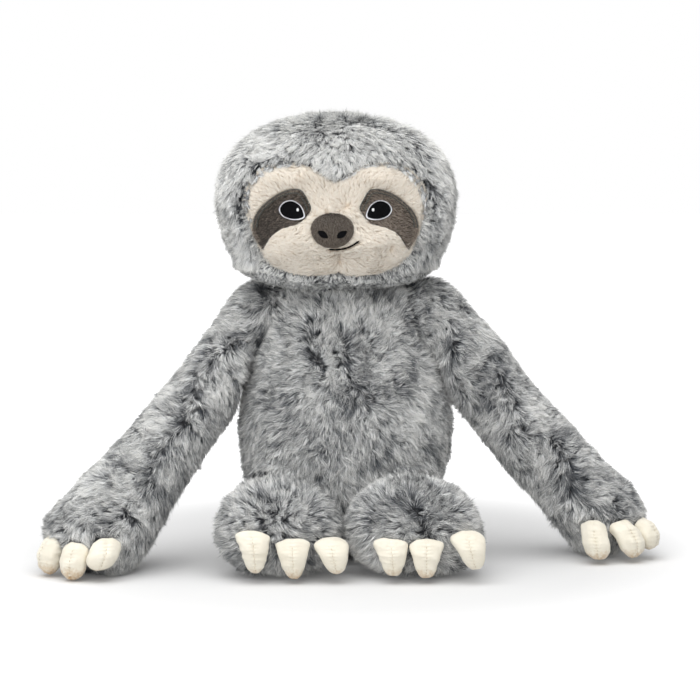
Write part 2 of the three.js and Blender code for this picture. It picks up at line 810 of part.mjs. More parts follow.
function makeEye(side) {
  const patchTop = (x, z) => panelFront(x, z) - PILE_GAP - PATCH_WALL;
  const patchMiddle = facePoint(side.sign * PATCH_X, PATCH_Z);
  const patch = outline(PATCH_SHARES, patchMiddle, PATCH_HALF_WIDTH, PATCH_HALF_HEIGHT, side.sign);
  const patchBack = (x, z) => panelFront(x, z) - PILE_GAP;
  put(`eye_patch_${side.tag}`, drape(patch, PATCH_SIDES, PATCH_RING_SHARES, patchTop, patchBack), TAUPE);

  const eyeMiddle = facePoint(side.sign * EYE_X, EYE_Z);
  const eye = outline(EYE_SHARES, eyeMiddle, EYE_HALF_WIDTH, EYE_HALF_HEIGHT, side.sign);
  const eyeBack = (x, z) => patchTop(x, z) - GAP;
  const eyeTop = (x, z, share) => eyeBack(x, z) - dome(share, EYE_EDGE, EYE_RISE);
  put(`eye_${side.tag}`, drape(eye, EYE_SIDES, EYE_RING_SHARES, eyeTop, eyeBack), BLACK);

  const rim = outline(
    EYE_SHARES,
    eyeMiddle,
    EYE_HALF_WIDTH + GAP + RIM_WIDTH,
    EYE_HALF_HEIGHT + GAP + RIM_WIDTH,
    side.sign,
  );
  const rimShare = (EYE_HALF_HEIGHT + 2 * GAP) / (EYE_HALF_HEIGHT + GAP + RIM_WIDTH);
  const rimTop = (x, z) => eyeBack(x, z) - RIM_RISE;
  put(`eye_rim_${side.tag}`, drape(rim, EYE_SIDES, [rimShare, 1], rimTop, eyeBack, 0, true), WHITE);

  const glintMiddle = facePoint(side.sign * GLINT_X, GLINT_Z);
  const across = (x, z) => {
    const share = Math.hypot((x - eyeMiddle.x) / EYE_HALF_WIDTH, (z - eyeMiddle.z) / EYE_HALF_HEIGHT);
    return eyeTop(x, z, Math.min(1, share)) - GAP;
  };
  const glint = outline(DISC_SHARES, glintMiddle, GLINT_HALF_WIDTH, GLINT_HALF_HEIGHT);
  const glintTop = (x, z) => across(x, z) - GLINT_RISE;
  put(`eye_glint_${side.tag}`, drape(glint, GLINT_SIDES, GLINT_RING_SHARES, glintTop, across), WHITE);
}

function makeNose() {
  const middle = facePoint(NOSE_X, NOSE_Z);
  const edge = outline(NOSE_SHARES, middle, NOSE_HALF_WIDTH, NOSE_HALF_HEIGHT, 1, true);
  const back = (x, z) => panelFront(x, z) - PILE_GAP;
  const top = (x, z) => {
    const share = Math.hypot((x - middle.x) / NOSE_HALF_WIDTH, (z - middle.z) / NOSE_HALF_HEIGHT);
    return back(x, z) - dome(Math.min(1, share), NOSE_EDGE, NOSE_RISE);
  };
  put("nose", drape(edge, NOSE_SIDES, NOSE_RING_SHARES, top, back), TAUPE);

  for (const side of SIDES) {
    const place = middle.clone().add(new THREE.Vector3(side.sign * NOSTRIL_X, 0, NOSTRIL_Z));
    const slot = outline(DISC_SHARES, place, NOSTRIL_HALF_WIDTH, NOSTRIL_HALF_HEIGHT);
    slot.curve.points.forEach((point) => {
      point.sub(place).applyAxisAngle(Y, -side.sign * radians(NOSTRIL_TILT)).add(place);
    });
    const bed = (x, z) => top(x, z) - GAP;
    const face = (x, z) => bed(x, z) - NOSTRIL_RISE;
    put(`nostril_${side.tag}`, drape(slot, GLINT_SIDES, NOSTRIL_RING_SHARES, face, bed), BLACK);
  }
}

function makeMouth() {
  const bend = new THREE.QuadraticBezierCurve3(
    facePoint(MOUTH_START_X, MOUTH_START_Z),
    facePoint(MOUTH_DIP_X, MOUTH_DIP_Z),
    facePoint(MOUTH_END_X, MOUTH_END_Z),
  );
  const onFace = bend.getPoints(MOUTH_STEPS).map((point) => {
    const depth = panelFront(point.x, point.z) - PILE_GAP - MOUTH_THREAD;
    return new THREE.Vector3(point.x, depth, point.z);
  });
  const section = new THREE.Shape().absarc(0, 0, MOUTH_THREAD, 0, 2 * Math.PI);
  const thread = new THREE.ExtrudeGeometry(section, {
    extrudePath: new THREE.CatmullRomCurve3(onFace),
    steps: MOUTH_STEPS,
    curveSegments: SEAM_FACETS,
    bevelEnabled: false,
  });
  put("mouth_stitch", solidOf(thread), BLACK);
}

const panelBack = (x, z) => headFront(x, z) + FUR_WALL;
put("face_panel", drape(faceOutline, FACE_SIDES, PANEL_SHARES, panelFront, panelBack), CREAM);
SIDES.forEach(makeEye);
makeNose();
makeMouth();

// Limbs: a fur cover open at its root, its stuffing and three claws sewn to its end

// Each row of angles turns a limb about its pivot by the two axes
function turnsOf(pivot, first, second, rows) {
  const about = (axis, angle) => new THREE.Matrix4().makeRotationAxis(axis, radians(angle));
  const there = new THREE.Matrix4().makeTranslation(pivot);
  const back = there.clone().invert();
  const turned = (a, b) => there.clone().multiply(about(first, a)).multiply(about(second, b));
  return rows.map(([a, b]) => turned(a, b).multiply(back));
}

// What the body sweeps as seen from a limb that turns
function sweepOf(solid, turns) {
  return wasm.Manifold.union(turns.map((turn) => solid.transform(turn.clone().invert().elements)));
}

// Cuts a limb where the body passes, and its hollow far enough from the cut to leave the cover whole
function makeLimb(name, shape, joint, turns) {
  const passing = sweepOf(bodyClear(PASSING_GAP, joint), turns);
  const deepCuts = (wall) => sweepOf(skin(bodyForm, HOLLOW_SIDES, HOLLOW_RINGS, -wall), turns);
  const pocketRoom = (wall) => ball(joint.pivot, joint.radius - wall, LINING_SIDES);
  const hollowOf = (wall, least) => {
    const cut = deepCuts(least).subtract(pocketRoom(wall));
    return skin(shape, LIMB_HOLLOW_SIDES, LIMB_HOLLOW_RINGS, wall).subtract(cut);
  };
  const outer = takeAway(skin(shape, LIMB_SIDES, LIMB_RINGS), [passing, FLOOR]);
  put(`${name.part}_cover_${name.tag}`, takeAway(outer, [hollowOf(FUR_WALL, LINING), joint.mouth]), FUR);
  put(`${name.part}_stuffing_${name.tag}`, hollowOf(FUR_WALL + GAP, LINING + GAP), STUFFING);
}

function makeClaws(name, shape, size, spines) {
  const limb = skin(shape, LIMB_SIDES, LIMB_RINGS, -GAP);
  spines.forEach(({ root, knee, tip, wide }, index) => {
    const claw = skin(clawForm(root, knee, tip, wide, size), CLAW_SIDES, CLAW_RINGS);
    put(`${name.claw}_claw_${name.tag}${index + 1}`, takeAway(claw, [limb, FLOOR]), CLAW_CLOTH);
  });
}

function makeArm(side, joint) {
  const drop = (SHOULDER_Z - PAW_HEIGHT) / ARM_LENGTH;
  const reach = Math.sqrt(1 - drop ** 2);
  const ahead = radians(side.heading);
  const level = new THREE.Vector3(side.sign * Math.cos(ahead), -Math.sin(ahead), 0);
  const heading = level.clone().multiplyScalar(reach).addScaledVector(Z, -drop);
  const wide = heading.clone().cross(Z).normalize();
  const pawSize = side.pawShare * PAW_HALF_WIDTH;
  const pawEnd = side.pawShare * PAW_END;
  const rows = [
    ...ARM_SHARES.map(([along, w, d]) => [along * ARM_LENGTH, w * ARM_HALF_WIDTH, d * ARM_HALF_WIDTH]),
    ...PAW_SHARES.map(([on, w, d]) => [ARM_LENGTH + on * pawEnd, w * pawSize, d * pawSize]),
  ];
  const shape = limbForm(joint.pivot, heading, wide, SHOULDER_RADIUS, rows, 2);
  const outward = X.clone().multiplyScalar(side.sign);
  const lift = heading.clone().cross(outward).normalize();
  const turns = turnsOf(joint.pivot, X.clone().negate(), lift, ARM_TURNS);
  makeLimb({ part: "arm", tag: side.tag }, shape, joint, turns);

  const paw = joint.pivot.clone().addScaledVector(heading, ARM_LENGTH);
  const spines = [];
  for (let i = 0; i < CLAWS; i += 1) {
    const turn = side.clawTurn + ((CLAWS - 1) / 2 - i) * HAND_CLAW_PITCH;
    const lean = HAND_CLAW_LEANS[side.tag][i];
    const tipRise = HAND_LIFT_SHARES[side.tag][i] * HAND_CLAW_KNEE_Z;
    const outAt = (angle) => level.clone().applyAxisAngle(Z, side.sign * radians(angle));
    const at = (angle, far, height) =>
      new THREE.Vector3(paw.x, paw.y, height).addScaledVector(outAt(angle), far);
    spines.push({
      root: at(turn, HAND_CLAW_ROOT_OUT, HAND_CLAW_ROOT_Z),
      knee: at(turn + lean / 2, HAND_CLAW_KNEE_OUT, HAND_CLAW_KNEE_Z),
      tip: at(turn + lean, HAND_CLAW_TIP_OUT, HAND_CLAW_TIP_Z + tipRise),
      wide: outAt(turn).cross(Z),
    });
  }
  const size = {
    shares: HAND_CLAW_SHARES,
    halfWide: HAND_CLAW_HALF_WIDTH,
    halfDeep: HAND_CLAW_HALF_DEPTH,
  };
  makeClaws({ claw: "hand", tag: side.tag }, shape, size, spines);
}

function makeLeg(side, joint) {
  const heading = Y.clone().negate();
  const rows = LEG_SHARES.map(([along, w, h]) => [
    along * FOOT_REACH,
    w * FOOT_HALF_WIDTH,
    h * FOOT_HALF_HEIGHT,
  ]);
  const shape = limbForm(joint.pivot, heading, X, HIP_RADIUS, rows, FOOT_POWER);
  const turns = turnsOf(joint.pivot, heading, X.clone().negate(), LEG_TURNS);
  makeLimb({ part: "leg", tag: side.tag }, shape, joint, turns);

  const spines = [];
  for (let i = 0; i < CLAWS; i += 1) {
    const x = joint.pivot.x + FOOT_CLAW_SHIFT + (i - (CLAWS - 1) / 2) * FOOT_CLAW_PITCH;
    const [rootAside, tipAside, rootUp, tipUp] = FOOT_STRAY_SHARES[side.tag][i];
    const rootX = x + rootAside * FOOT_CLAW_PITCH;
    const tipX = x + tipAside * FOOT_CLAW_PITCH;
    const rise = rootUp * FOOT_CLAW_ROOT_Z;
    spines.push({
      root: new THREE.Vector3(rootX, FOOT_CLAW_ROOT_Y, FOOT_CLAW_ROOT_Z + rise),
      knee: new THREE.Vector3((rootX + tipX) / 2, FOOT_CLAW_KNEE_Y, FOOT_CLAW_KNEE_Z + rise),
      tip: new THREE.Vector3(tipX, FOOT_CLAW_TIP_Y, FOOT_CLAW_TIP_Z + tipUp * FOOT_CLAW_ROOT_Z),
      wide: X,
    });
  }
  const size = {
    shares: FOOT_CLAW_SHARES,
    halfWide: FOOT_CLAW_HALF_WIDTH,
    halfDeep: FOOT_CLAW_HALF_DEPTH,
  };
  makeClaws({ claw: "foot", tag: side.tag }, shape, size, spines);
}

SIDES.forEach((side, index) => {
  makeArm(side, shoulderSeats[index]);
  makeLeg(side, hipSeats[index]);
});

export default sloth;
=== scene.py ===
# The look of the plush sloth: fabric backings with real strands of fur, a short-pile face with stitched
# features, and padded cloth claws, on a white studio floor.
import json
import math

import bpy
import numpy as np
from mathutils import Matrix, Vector
from mathutils.bvhtree import BVHTree


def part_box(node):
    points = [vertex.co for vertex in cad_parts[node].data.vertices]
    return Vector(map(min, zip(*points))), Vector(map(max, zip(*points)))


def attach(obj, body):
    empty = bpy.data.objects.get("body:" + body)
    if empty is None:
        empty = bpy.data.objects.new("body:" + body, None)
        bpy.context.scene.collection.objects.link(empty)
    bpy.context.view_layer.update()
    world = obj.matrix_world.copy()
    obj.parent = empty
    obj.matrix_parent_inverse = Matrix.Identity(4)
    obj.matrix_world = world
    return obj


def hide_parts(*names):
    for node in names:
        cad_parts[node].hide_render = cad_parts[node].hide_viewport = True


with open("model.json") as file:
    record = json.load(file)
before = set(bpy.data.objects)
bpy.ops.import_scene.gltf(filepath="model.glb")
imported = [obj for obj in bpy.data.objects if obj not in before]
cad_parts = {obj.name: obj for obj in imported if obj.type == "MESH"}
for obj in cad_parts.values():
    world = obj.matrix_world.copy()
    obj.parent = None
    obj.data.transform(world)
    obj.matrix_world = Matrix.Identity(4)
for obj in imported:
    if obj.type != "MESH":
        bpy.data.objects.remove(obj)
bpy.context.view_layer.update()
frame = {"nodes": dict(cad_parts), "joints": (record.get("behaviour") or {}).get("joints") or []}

X, Y, Z = np.eye(3)
LEVEL = (1, 1, 0)  # drops the height of a place
TURN = 2 * math.pi
TINY = 1e-12  # keeps divisions and logarithms defined

# Camera, in metres and degrees
CAMERA_TARGET = (0.0041, 0, 0.1307)
CAMERA_DISTANCE = 1.42
CAMERA_ELEVATION = 5.5
CAMERA_LENS_SHARE = 3.2  # focal length as a share of the picture's width

# Studio
FLOOR_HALF = 6
FLOOR_COLOUR = 0.71
FLOOR_LIFT = (0.06, 1.0)  # seen by the camera alone, near the object and far off
FLOOR_FADE = (0.16, 0.42)  # where that lift starts to grow and where it is whole
SKY_STRENGTH = 0.46
TOP_LAMP_SIZE = 1.5
TOP_LAMP_PLACE = (-0.12, -0.25, 1.25)
TOP_LAMP_POWER = 17.5
FRONT_LAMP_SIZE = 2.0
FRONT_LAMP_PLACE = (-0.6, -1.6, 0.45)
FRONT_LAMP_POWER = 14

# Materials
WHITE = (1, 1, 1, 1)
LUSTRE = 0.3
CLOTH_GRAIN = 900.0  # how fine the weave is
CLAW_GRAIN = 1500.0
CLOTH_RELIEF = 0.0004  # height of the weave, and of the ply with its strength
THREAD_RELIEF = 0.0001
PLY_STRENGTH = 0.35
# Noise for uneven dye, the weave, the ply and the brown low on the claws
CLOTH_DYE = {"Detail": 4.0, "Roughness": 0.6}
THREAD_DYE = {"Scale": 700.0, "Detail": 2.0}
WEAVE = {"Detail": 2.0, "Roughness": 0.5}
PLY = {"Scale": 1600.0, "Distortion": 1.0}
BROWN_PATCHES = {"Scale": 420.0, "Detail": 5.0, "Roughness": 0.75}
CLOTH_ENDS = (0.3, 0.7)  # where in the noise the darker colour ends and the lighter one is whole
THREAD_ENDS = (0.35, 0.65)
CLAW_TIP_BROWN = (0.52, 0.34, 0.17, 1)
BROWN_FROM = 0.018  # height over the floor where the brown starts, and where it is most
BROWN_TO = 0.001
BROWN_EDGES = (0.24, 0.56)  # how much of the brown's mask shows nothing, and how much shows it whole

# Joints: the radius of each round root, and the room that its pocket has
ROOT_RADII = {"head": 0.030, "arm": 0.024, "leg": 0.026}
POCKET_ROOM = 0.0024
POCKET_BLEND = 0.005  # the torso's pile grows to its full height over this length from a pocket
ROOT_BLEND = 0.008  # a limb's pile grows to its full height over this length out of its pocket
ROOT_MOUTHS = {"head": ((0, 0, 1), 0.0), "arm": ((1, 0, 0), -0.017), "leg": ((0, -1, 0.25), -0.010)}
SHORT_SHARE = 0.4  # the pile's height on what a pocket hides
POCKET_BARE = 0.2  # where the torso's share is under this it has no pile

# Random fields: their seeds, how many waves they are made of, and how far their lengths spread
FIELD_SEEDS = {"whorl": 11, "ruffle": 12, "mottle": 13, "fleck": 14, "parting": 15, "lumps": 21}
WAVE_COUNT = 20
WAVE_SPREAD = (0.7, 1.5)
# Multipliers that turn the cells of space into random numbers
CELL_KEYS = (73856093, 19349663, 83492791)
CELL_JITTERS = (2654435761, 805459861, 3674653429)

# Long fur: its strands
FUR_SEEDS = {"body": 1, "head": 2, "arm_l": 3, "arm_r": 4, "leg_l": 5, "leg_r": 6, "fringe": 7}
STRANDS_PER_AREA = 6.6e6  # per square metre
PIECE_STRANDS = 62000
PILE_LENGTH = 0.0112
PILE_HEIGHT = 0.0058  # from the backing to the tips, because the strands lean
PILE_STAND = 0.0082  # where nothing combs them they stand this high
LEAST_LEAN = 0.55  # and lean this share as far
JUMBLE = 5  # and stray this many times more
STRAY_SHARE = 0.1  # of the strands stand out of the pile
STRAY_LIFT = 1.45
STRAND_HALF_WIDTH = 0.000145
MIDDLE_WIDTH = 0.85  # share of a strand's width that is left half way up
STAND_UNEVEN = (0.78, 1.16)  # how tufts differ in height, and then single strands in height, reach and width
STAND_STRAND = (0.9, 1.1)
RUN_STRAND = (0.85, 1.05)
WIDTH_STRAND = (0.7, 1.2)
TWIST = 0.8  # radians by which strands turn about themselves
BEND = (0.66, 0.34)  # share of the height and of the reach that a strand has at its middle
TURNS = (0.34, 0.24)  # radians by which tufts and single strands stray from the comb

# Long fur: its tufts, swirls and partings
TUFT = 0.0019  # size of a tuft
TUFT_PULL = (0.25, 0.8)  # how far the strands of a tuft come together
MIDDLE_PULL = 0.5  # of the tips' pull into a tuft
LOCK = 0.0009  # size of the finest locks in a tuft
WHORL = 0.034  # size of the swirls in the pile
WHORL_PULL = {"torso": 0.25, "head": 0.2, "arm": 0.25, "leg": 0.3}
RUFFLE = 0.012
RUFFLE_PULL = 0.24
PARTING = 0.04  # spacing of the crooked lines where the pile falls open
PARTING_PULL = {"torso": 0.5, "head": 0.3, "arm": 0.75, "leg": 0.5}
PARTING_SOFTNESS = 0.1
PARTING_STEP = 0.001  # over which the slope of their field is taken

# Long fur: its tones
TONE_MEAN = 0.66  # how light the strands are, from 0 to 1, and how much that changes
# The head's large shift is painted light: its whole hood is made lighter to stand in for the light falling on
# its top
TONE_AND_PAINTED_LIGHT_SHIFTS = {"torso": 0.02, "head": 0.44, "arm": 0.1, "leg": 0.02}
TONE_MOTTLE = 0.19
TONE_FLECK = 0.15
TONE_TUFT = 0.26
TONE_LOCK = 0.36
TONE_STRAND = 0.2
TONE_ENDS = (0.02, 0.98)
MOTTLE = 0.024  # size of the patches and of the flecks of tone
FLECK = 0.0055
OPENING_WIDTH = 0.22  # how far beside a parting the strands are darker, and by how much; that darkening is partly the dark roots that show there and partly painted shade in the gap
OPENING_ROOTS_AND_PAINTED_SHADE = {"torso": 0.28, "head": 0.16, "arm": 0.42, "leg": 0.16}

# Long fur: what it keeps clear of
FLOOR_CLEARANCE = 0.0005
CLEAR_MARGIN = 0.002  # strands this near to another body are looked at
CLEAR_NEAR = 0.004  # and how far off its skin is still found
CLOTH_DEPTH = 0.001  # how deep a strand may reach into a backing, and into a claw
CLAW_DEPTH = 0.0004

# Hood
CROWN = (0, 0.04, 0)  # the top pile runs outward from here
CROWN_REACH = 0.03  # and does so wholly from this far before it
HEAD_COMB = (0.9, 0.85, 0.9)  # how strongly the hood's pile runs aside, down and away from the crown
FACE_AWAY = (1, 0.4, 1)  # weights of the axes in the way out from the face's middle
# Within each share of the face's outline: how much of its comb the hood's pile keeps, and how much it
# turns in over the face
HOOD_EDGE_COMBS = {1.14: (0.8, 0.15), 1.07: (0.7, 0.4)}
FACE_SIDE = -0.015  # the hood's opening lies before this Y, and its edge before the next
EDGE_SIDE = -0.02
OPENING_SHARE = 0.985  # of the face's outline, within which the hood has no pile
FRINGE_REACH = 1.07  # the hood's pile that overhangs the face comes from within this share of its outline
FRINGE_TUFT = 0.003
FRINGE_PULL = (0.6, 0.95)
FRINGE_SIZE = 0.75
FRINGE_TONE = -0.2
FRINGE_STOP = 0.94  # strands reach to about this share of the outline, and how much that changes
FRINGE_UNEVEN = 0.025
FRINGE_OVER = 0.0022  # how far before the face it lies

# Belly, back and limbs
BELLY_WHORL = (0.001, -0.06, 0.118)  # the pile runs outward from here
BELLY_WHORL_REACH = 0.036  # and lies down within this distance
BELLY_SOFTNESS = 0.03  # length over which the comb of the front turns into that of the back
BELLY_AWAY = (1, 0.3, 1)  # weights of the axes in the way out
BELLY_FALL = 0.15  # how strongly that pile hangs as well
BACK_SPREAD = 0.3  # how far the pile of the back runs outward as it falls
FOOT_AWAY = (1, 0.5, 1)  # the same on a foot, whose pile runs outward from this far off its middle
FOOT_WHORL = (0, -0.02, 0.004)
FOOT_WHORL_REACH = 0.022
ARM_COMB = (0.8, 0.8, 0.1)  # how strongly an arm's pile runs along it, aside and down
ARM_PARTING_SWAY = 0.006  # of the parting down an arm's front
ARM_PARTING_SOFTNESS = 0.004  # the pile turns over this length beside it
ARM_OPENING = 0.0035  # half width of that parting
END_POINTS = 300  # the farthest points of a limb's backing, whose mean is its end
PAW_MIDDLE = 0.02  # from that end back to the paw's middle

# Backings and fillings
SMOOTHING = 0.5  # strength of each round of it on a cloth
BACKING_VOXEL = 0.0034
BACKING_ROUNDS = 7  # rounds of smoothing
BACKING_FILL = 0.8
BAG_VOXEL = 0.0016
BAG_ROUNDS = 8
FILLS = {"face": 0.7, "nose": 0.8, "claw": 0.75, "bag": 0.5}  # how firmly they are stuffed
# Where stuffing fills a backing out or draws it in: place, reach and height
PLUMP = {
    "torso": [
        ((-0.04, 0.0, 0.168), 0.018, 0.009), ((0.036, 0.0, 0.168), 0.018, 0.009),
        ((0.068, 0.0, 0.096), 0.022, 0.0018), ((-0.066, 0.0, 0.075), 0.022, -0.0018),
    ],
    "head": [((-0.068, 0.0, 0.19), 0.022, 0.0022), ((0.062, 0.0, 0.186), 0.022, 0.0026)],
    "arm_l": [((-0.046, 0.0, 0.172), 0.018, 0.005), ((-0.178, -0.06, 0.026), 0.016, 0.003)],
    "arm_r": [
        ((0.05, 0.0, 0.172), 0.022, 0.006), ((0.094, 0.0, 0.142), 0.028, 0.0055),
        ((0.1, 0.0, 0.05), 0.03, 0.002),
    ],
    "leg_l": [((-0.08, -0.06, 0.035), 0.03, -0.0042)],
    "leg_r": [((0.083, -0.06, 0.012), 0.022, 0.0085)],
}

# Claws
CLAW_KINDS = {"arm": "hand", "leg": "foot"}
CLAW_SEED = 60
CLAW_VOXEL = 0.0006
CLAW_ROUNDS = {"foot": 120, "hand": 24}
CLAW_FLARE = {"foot": 0.16, "hand": 0.04}  # share by which a pouch widens over its upper half
CLAW_FILL = 0.0009  # how far the filling swells a pouch
CLAW_FILLS = {"hand_claw_l1": 0.0018, "hand_claw_l3": 0.0017}  # fuller ones
CLAW_FOLD = 0.00026  # depth of the folds, their length and how soft they are
CLAW_FOLD_LENGTH = 0.012
CLAW_FOLD_SOFTNESS = 0.35
CLAW_FOLD_STRETCH = (1, 1, 1.8)  # the folds lie more across than along
CLAW_CREASE = 0.00045  # depth and width of the crease at the seam, and of the puckers beside it
CLAW_CREASE_WIDTH = 0.0008
CLAW_PUCKER = 0.00022
CLAW_PUCKER_WIDTH = 0.003
CLAW_FACING = 2  # how quickly the seam's creases start on what faces forward
CLAW_SHELVES = 8  # levels at which the seam's line is found
CLAW_STITCH = 0.0019
CLAW_STITCH_SHARE = 0.5  # of their spacing
CLAW_STITCH_STEPS = 4
CLAW_SLANT = 0.35  # of a stitch's height, to either side by turns
CLAW_SEAM_SHARE = 0.8  # of a claw's height
CLAW_SEAM_THREAD = 0.0002
CLAW_REACH = 0.03  # distance from which the stitches are laid onto the cloth

# Face, in shares of the half width and half height, from the forehead's point to the chin
FACE_SHARES = [
    (0, 0.7), (0.14, 0.8), (0.27, 0.93), (0.42, 1), (0.6, 1), (0.77, 0.93), (0.91, 0.72),
    (0.985, 0.48), (1, 0.25), (0.955, 0.03), (0.925, -0.14), (0.88, -0.33), (0.82, -0.5),
    (0.77, -0.65), (0.66, -0.81), (0.5, -0.92), (0.3, -0.97), (0.13, -0.95), (0, -0.9),
]
PATCH_SHARES = [
    (-0.68, 0.95), (-0.44, 1), (-0.1, 0.92), (0.23, 0.76), (0.53, 0.54), (0.77, 0.31), (0.91, 0.09),
    (0.99, -0.17), (0.99, -0.43), (0.87, -0.69), (0.74, -0.86), (0.655, -1), (0.57, -0.82), (0.4, -0.6),
    (0.2, -0.43), (-0.07, -0.3), (-0.37, -0.2), (-0.61, -0.12), (-0.83, 0.08), (-1, 0.37), (-0.87, 0.68),
]
EYE_SHARES = [
    (-1, -0.72), (-0.94, -0.1), (-0.62, 0.58), (0, 1), (0.66, 0.76), (1, 0.05), (0.72, -0.66),
    (0.05, -1), (-0.6, -0.98),
]
NOSE_SHARES = [(0, 1), (0.5, 0.9), (0.9, 0.52), (1, 0.08), (0.86, -0.46), (0.5, -0.87), (0, -1)]
DISC_SHARES = [(1, 0), (0, 1), (-1, 0), (0, -1)]

# Face panel, in metres
POINTS = {"face": 220, "patch": 210, "nose": 140, "eye": 120, "nostril": 60, "glint": 40}  # on their outlines
RINGS = {"face": 46, "nose": 22, "patch": 16, "eye": 8}
PLACE_DIGITS = 5  # places that agree to this many digits are one
PANEL_THICKNESS = 0.0028
PANEL_TUCK = 0.0024  # the panel's edge turns in this far under the fur
PANEL_TUCK_FROM = 0.9
PANEL_LUMP = 0.0003  # height and size of its lumps
PANEL_LUMP_SIZE = 0.013
# Soft forms of the stuffed face, mirrored: place from its middle, half width, half height and rise
FACE_FORMS = [
    ((0.026, -0.0160), (0.0160, 0.0110), 0.0052), ((0.024, 0.0260), (0.0150, 0.0080), 0.0040),
    ((0.035, 0.0050), (0.0120, 0.0120), -0.0022),
]
CHIN_CREASE = (0.0022, 0.0015, 0.0016)  # right of the middle, depth and half width
CHIN_FADE = 0.004
PILE_GAP = 0.0004
UNDER_SHARE = 0.2  # of the pile's gap, by which a sewn piece stands off the panel
EDGE_SHARE = 0.97  # of an outline, up to which pile or thread stays clear of it

# Mouth: its line in X and Z from the face's middle, whose thread starts at the third point
MOUTH_LINE = [
    (-0.0166, -0.0126), (-0.0100, -0.0150), (-0.0040, -0.0163), (0.0030, -0.0166), (0.0090, -0.0147),
    (0.0140, -0.0116),
]
MOUTH_CREASE = (0.0008, 0.0011)  # depth and half width
MOUTH_FADE = (0.004, 0.003)  # lengths over which it starts and ends
MOUTH_THREAD = 0.0005
MOUTH_SIDES = 8
MOUTH_STITCHES = 5
MOUTH_STEPS = 6
MOUTH_OVERLAP = 0.0004
MOUTH_LIFT = 0.0013
MOUTH_ARCH = 0.0002
MOUTH_CLEAR = 0.0009  # the short pile keeps this clear of the thread
MOUTH_BED_POINTS = 16

# Eye patches
PATCH_WIDTH_SHARE = 1.08
PATCH_WALL = 0.0008
PATCH_ROUND = 10  # power that rounds their edge
PATCH_NAP_AND_PAINTED_LIGHT_TONES = {"l": (0.0, 0.36), "r": (0.62, 0.97)}  # from its low end to its top; the right patch is lighter than the left partly for its lighter nap and partly as painted light, where more light falls on it
PATCH_BORDER_TONE = 0.55  # added between the rows of stitches
PATCH_STITCH = 0.0004  # radius of their thread
PATCH_STITCH_ROWS = {0.87: 0.003, 0.985: 0.0029}  # share of the way out, and height over the panel
PATCH_STITCHED = (-0.1, 0.36)  # where those rows start and end, in turns round the patch
PATCH_STITCHES = 42
STITCH_SHARE = 0.86  # of their spacing
STITCH_ARCH = 0.00015
STITCH_STEPS = 4

# Eyes
EYE_SIZE_SHARES = (0.92, 0.88)
EYE_EDGE = 0.0005  # height of the satin's edge and of its middle over the patch
EYE_RISE = 0.0012
EYE_FULL = 0.55  # the satin reaches this far over the rim's width
GLINT_SHARE = 0.76
SATIN_TURN = 0.25
RIM_THREAD = 0.00017
RIM_STEPS = 5
RIM_LIFT = 0.0004  # over the satin's edge, and how far its stitches arch over that
RIM_ARCH = 0.0004

# Nose
NOSE_EDGE = 0.0018  # height of its edge and of its middle over the panel
NOSE_RISE = 0.0051
NOSE_ROUND = 12  # power that rounds its edge
NOSTRIL_HALF = (0.0037, 0.002)
NOSTRIL_TILT = 0.55
NOSTRIL_LIFT = 0.0004
NOSTRIL_CLEAR = 0.9
NOSTRIL_STEPS = 5

# Threads
SATIN_THREAD = 0.00021
SATIN_SPACING = 0.00035
SATIN_MARGINS = (0.7, 0.4)  # share of the spacing left free before the first thread and after the last
SATIN_STEPS = 9
THREAD_END_SHARE = 0.55  # of a thread's radius at its ends
THREAD_SIDES = 6

# Short pile: its strands per square metre, their length, height and half width, their tufts and seed
SHORT_PILES = {
    "face": dict(per_area=1.7e7, length=0.0036, height=0.0017, width=0.0001, tuft=0.0016, seed=41),
    "patch": dict(per_area=9e6, length=0.0018, height=0.0009, width=0.00012, tuft=0.0013, seed=31),
    "nose": dict(per_area=1.6e7, length=0.0013, height=0.0008, width=0.0001, tuft=0.001, seed=51),
}
SHORT_PULL = (0.1, 0.6)
SHORN_SHARE = 0.35  # length left of a short strand that would lie over a patch or the nose
SHORT_TURNS = (0.2, 0.15)
SHORT_WHORL = (0.02, 0.12)  # size and pull of the swirls, and of the ruffles
SHORT_RUFFLE = (0.006, 0.07)
SHORT_TONE = 0.55
SHORT_TONE_TUFT = 0.13
SHORT_TONE_STRAND = 0.14
FRONT_SIDE = -0.1  # only what faces this far forward has pile
PATCH_COMB = (0.9, 0, -0.5)
NOSE_COMB = (0.1, 0, -1.0)
FACE_COMB_DEPTH = -0.03  # the face's pile runs outward from a place behind the nose


def unit(v):
    return v / np.maximum(np.linalg.norm(v, axis=-1, keepdims=True), TINY)


def smooth_step(t):
    t = np.clip(t, 0, 1)
    return t * t * (3 - 2 * t)


# Meshes from arrays

def mesh_piece(name, points, faces, material, uv=None, smooth=True):
    """faces is a list of arrays, one for each number of corners."""
    mesh = bpy.data.meshes.new(name)
    corners = np.concatenate([f.ravel() for f in faces]).astype(np.int32)
    totals = np.concatenate([np.full(len(f), f.shape[1], np.int32) for f in faces])
    starts = np.concatenate([[0], np.cumsum(totals)[:-1]]).astype(np.int32)
    mesh.vertices.add(len(points))
    mesh.vertices.foreach_set("co", points.astype(np.float32).ravel())
    mesh.loops.add(len(corners))
    mesh.loops.foreach_set("vertex_index", corners)
    mesh.polygons.add(len(totals))
    mesh.polygons.foreach_set("loop_start", starts)
    mesh.polygons.foreach_set("use_smooth", np.full(len(totals), smooth))
    mesh.update(calc_edges=True)
    if uv is not None:
        layer = mesh.uv_layers.new(name="OFBake")
        layer.data.foreach_set("uv", uv[corners].astype(np.float32).ravel())
    mesh.materials.append(material)
    piece = bpy.data.objects.new(name, mesh)
    bpy.context.scene.collection.objects.link(piece)
    return piece


def read(items, key, kind=np.float32):
    """The three numbers of each item."""
    values = np.empty(len(items) * 3, kind)
    items.foreach_get(key, values)
    return values.reshape(-1, 3)


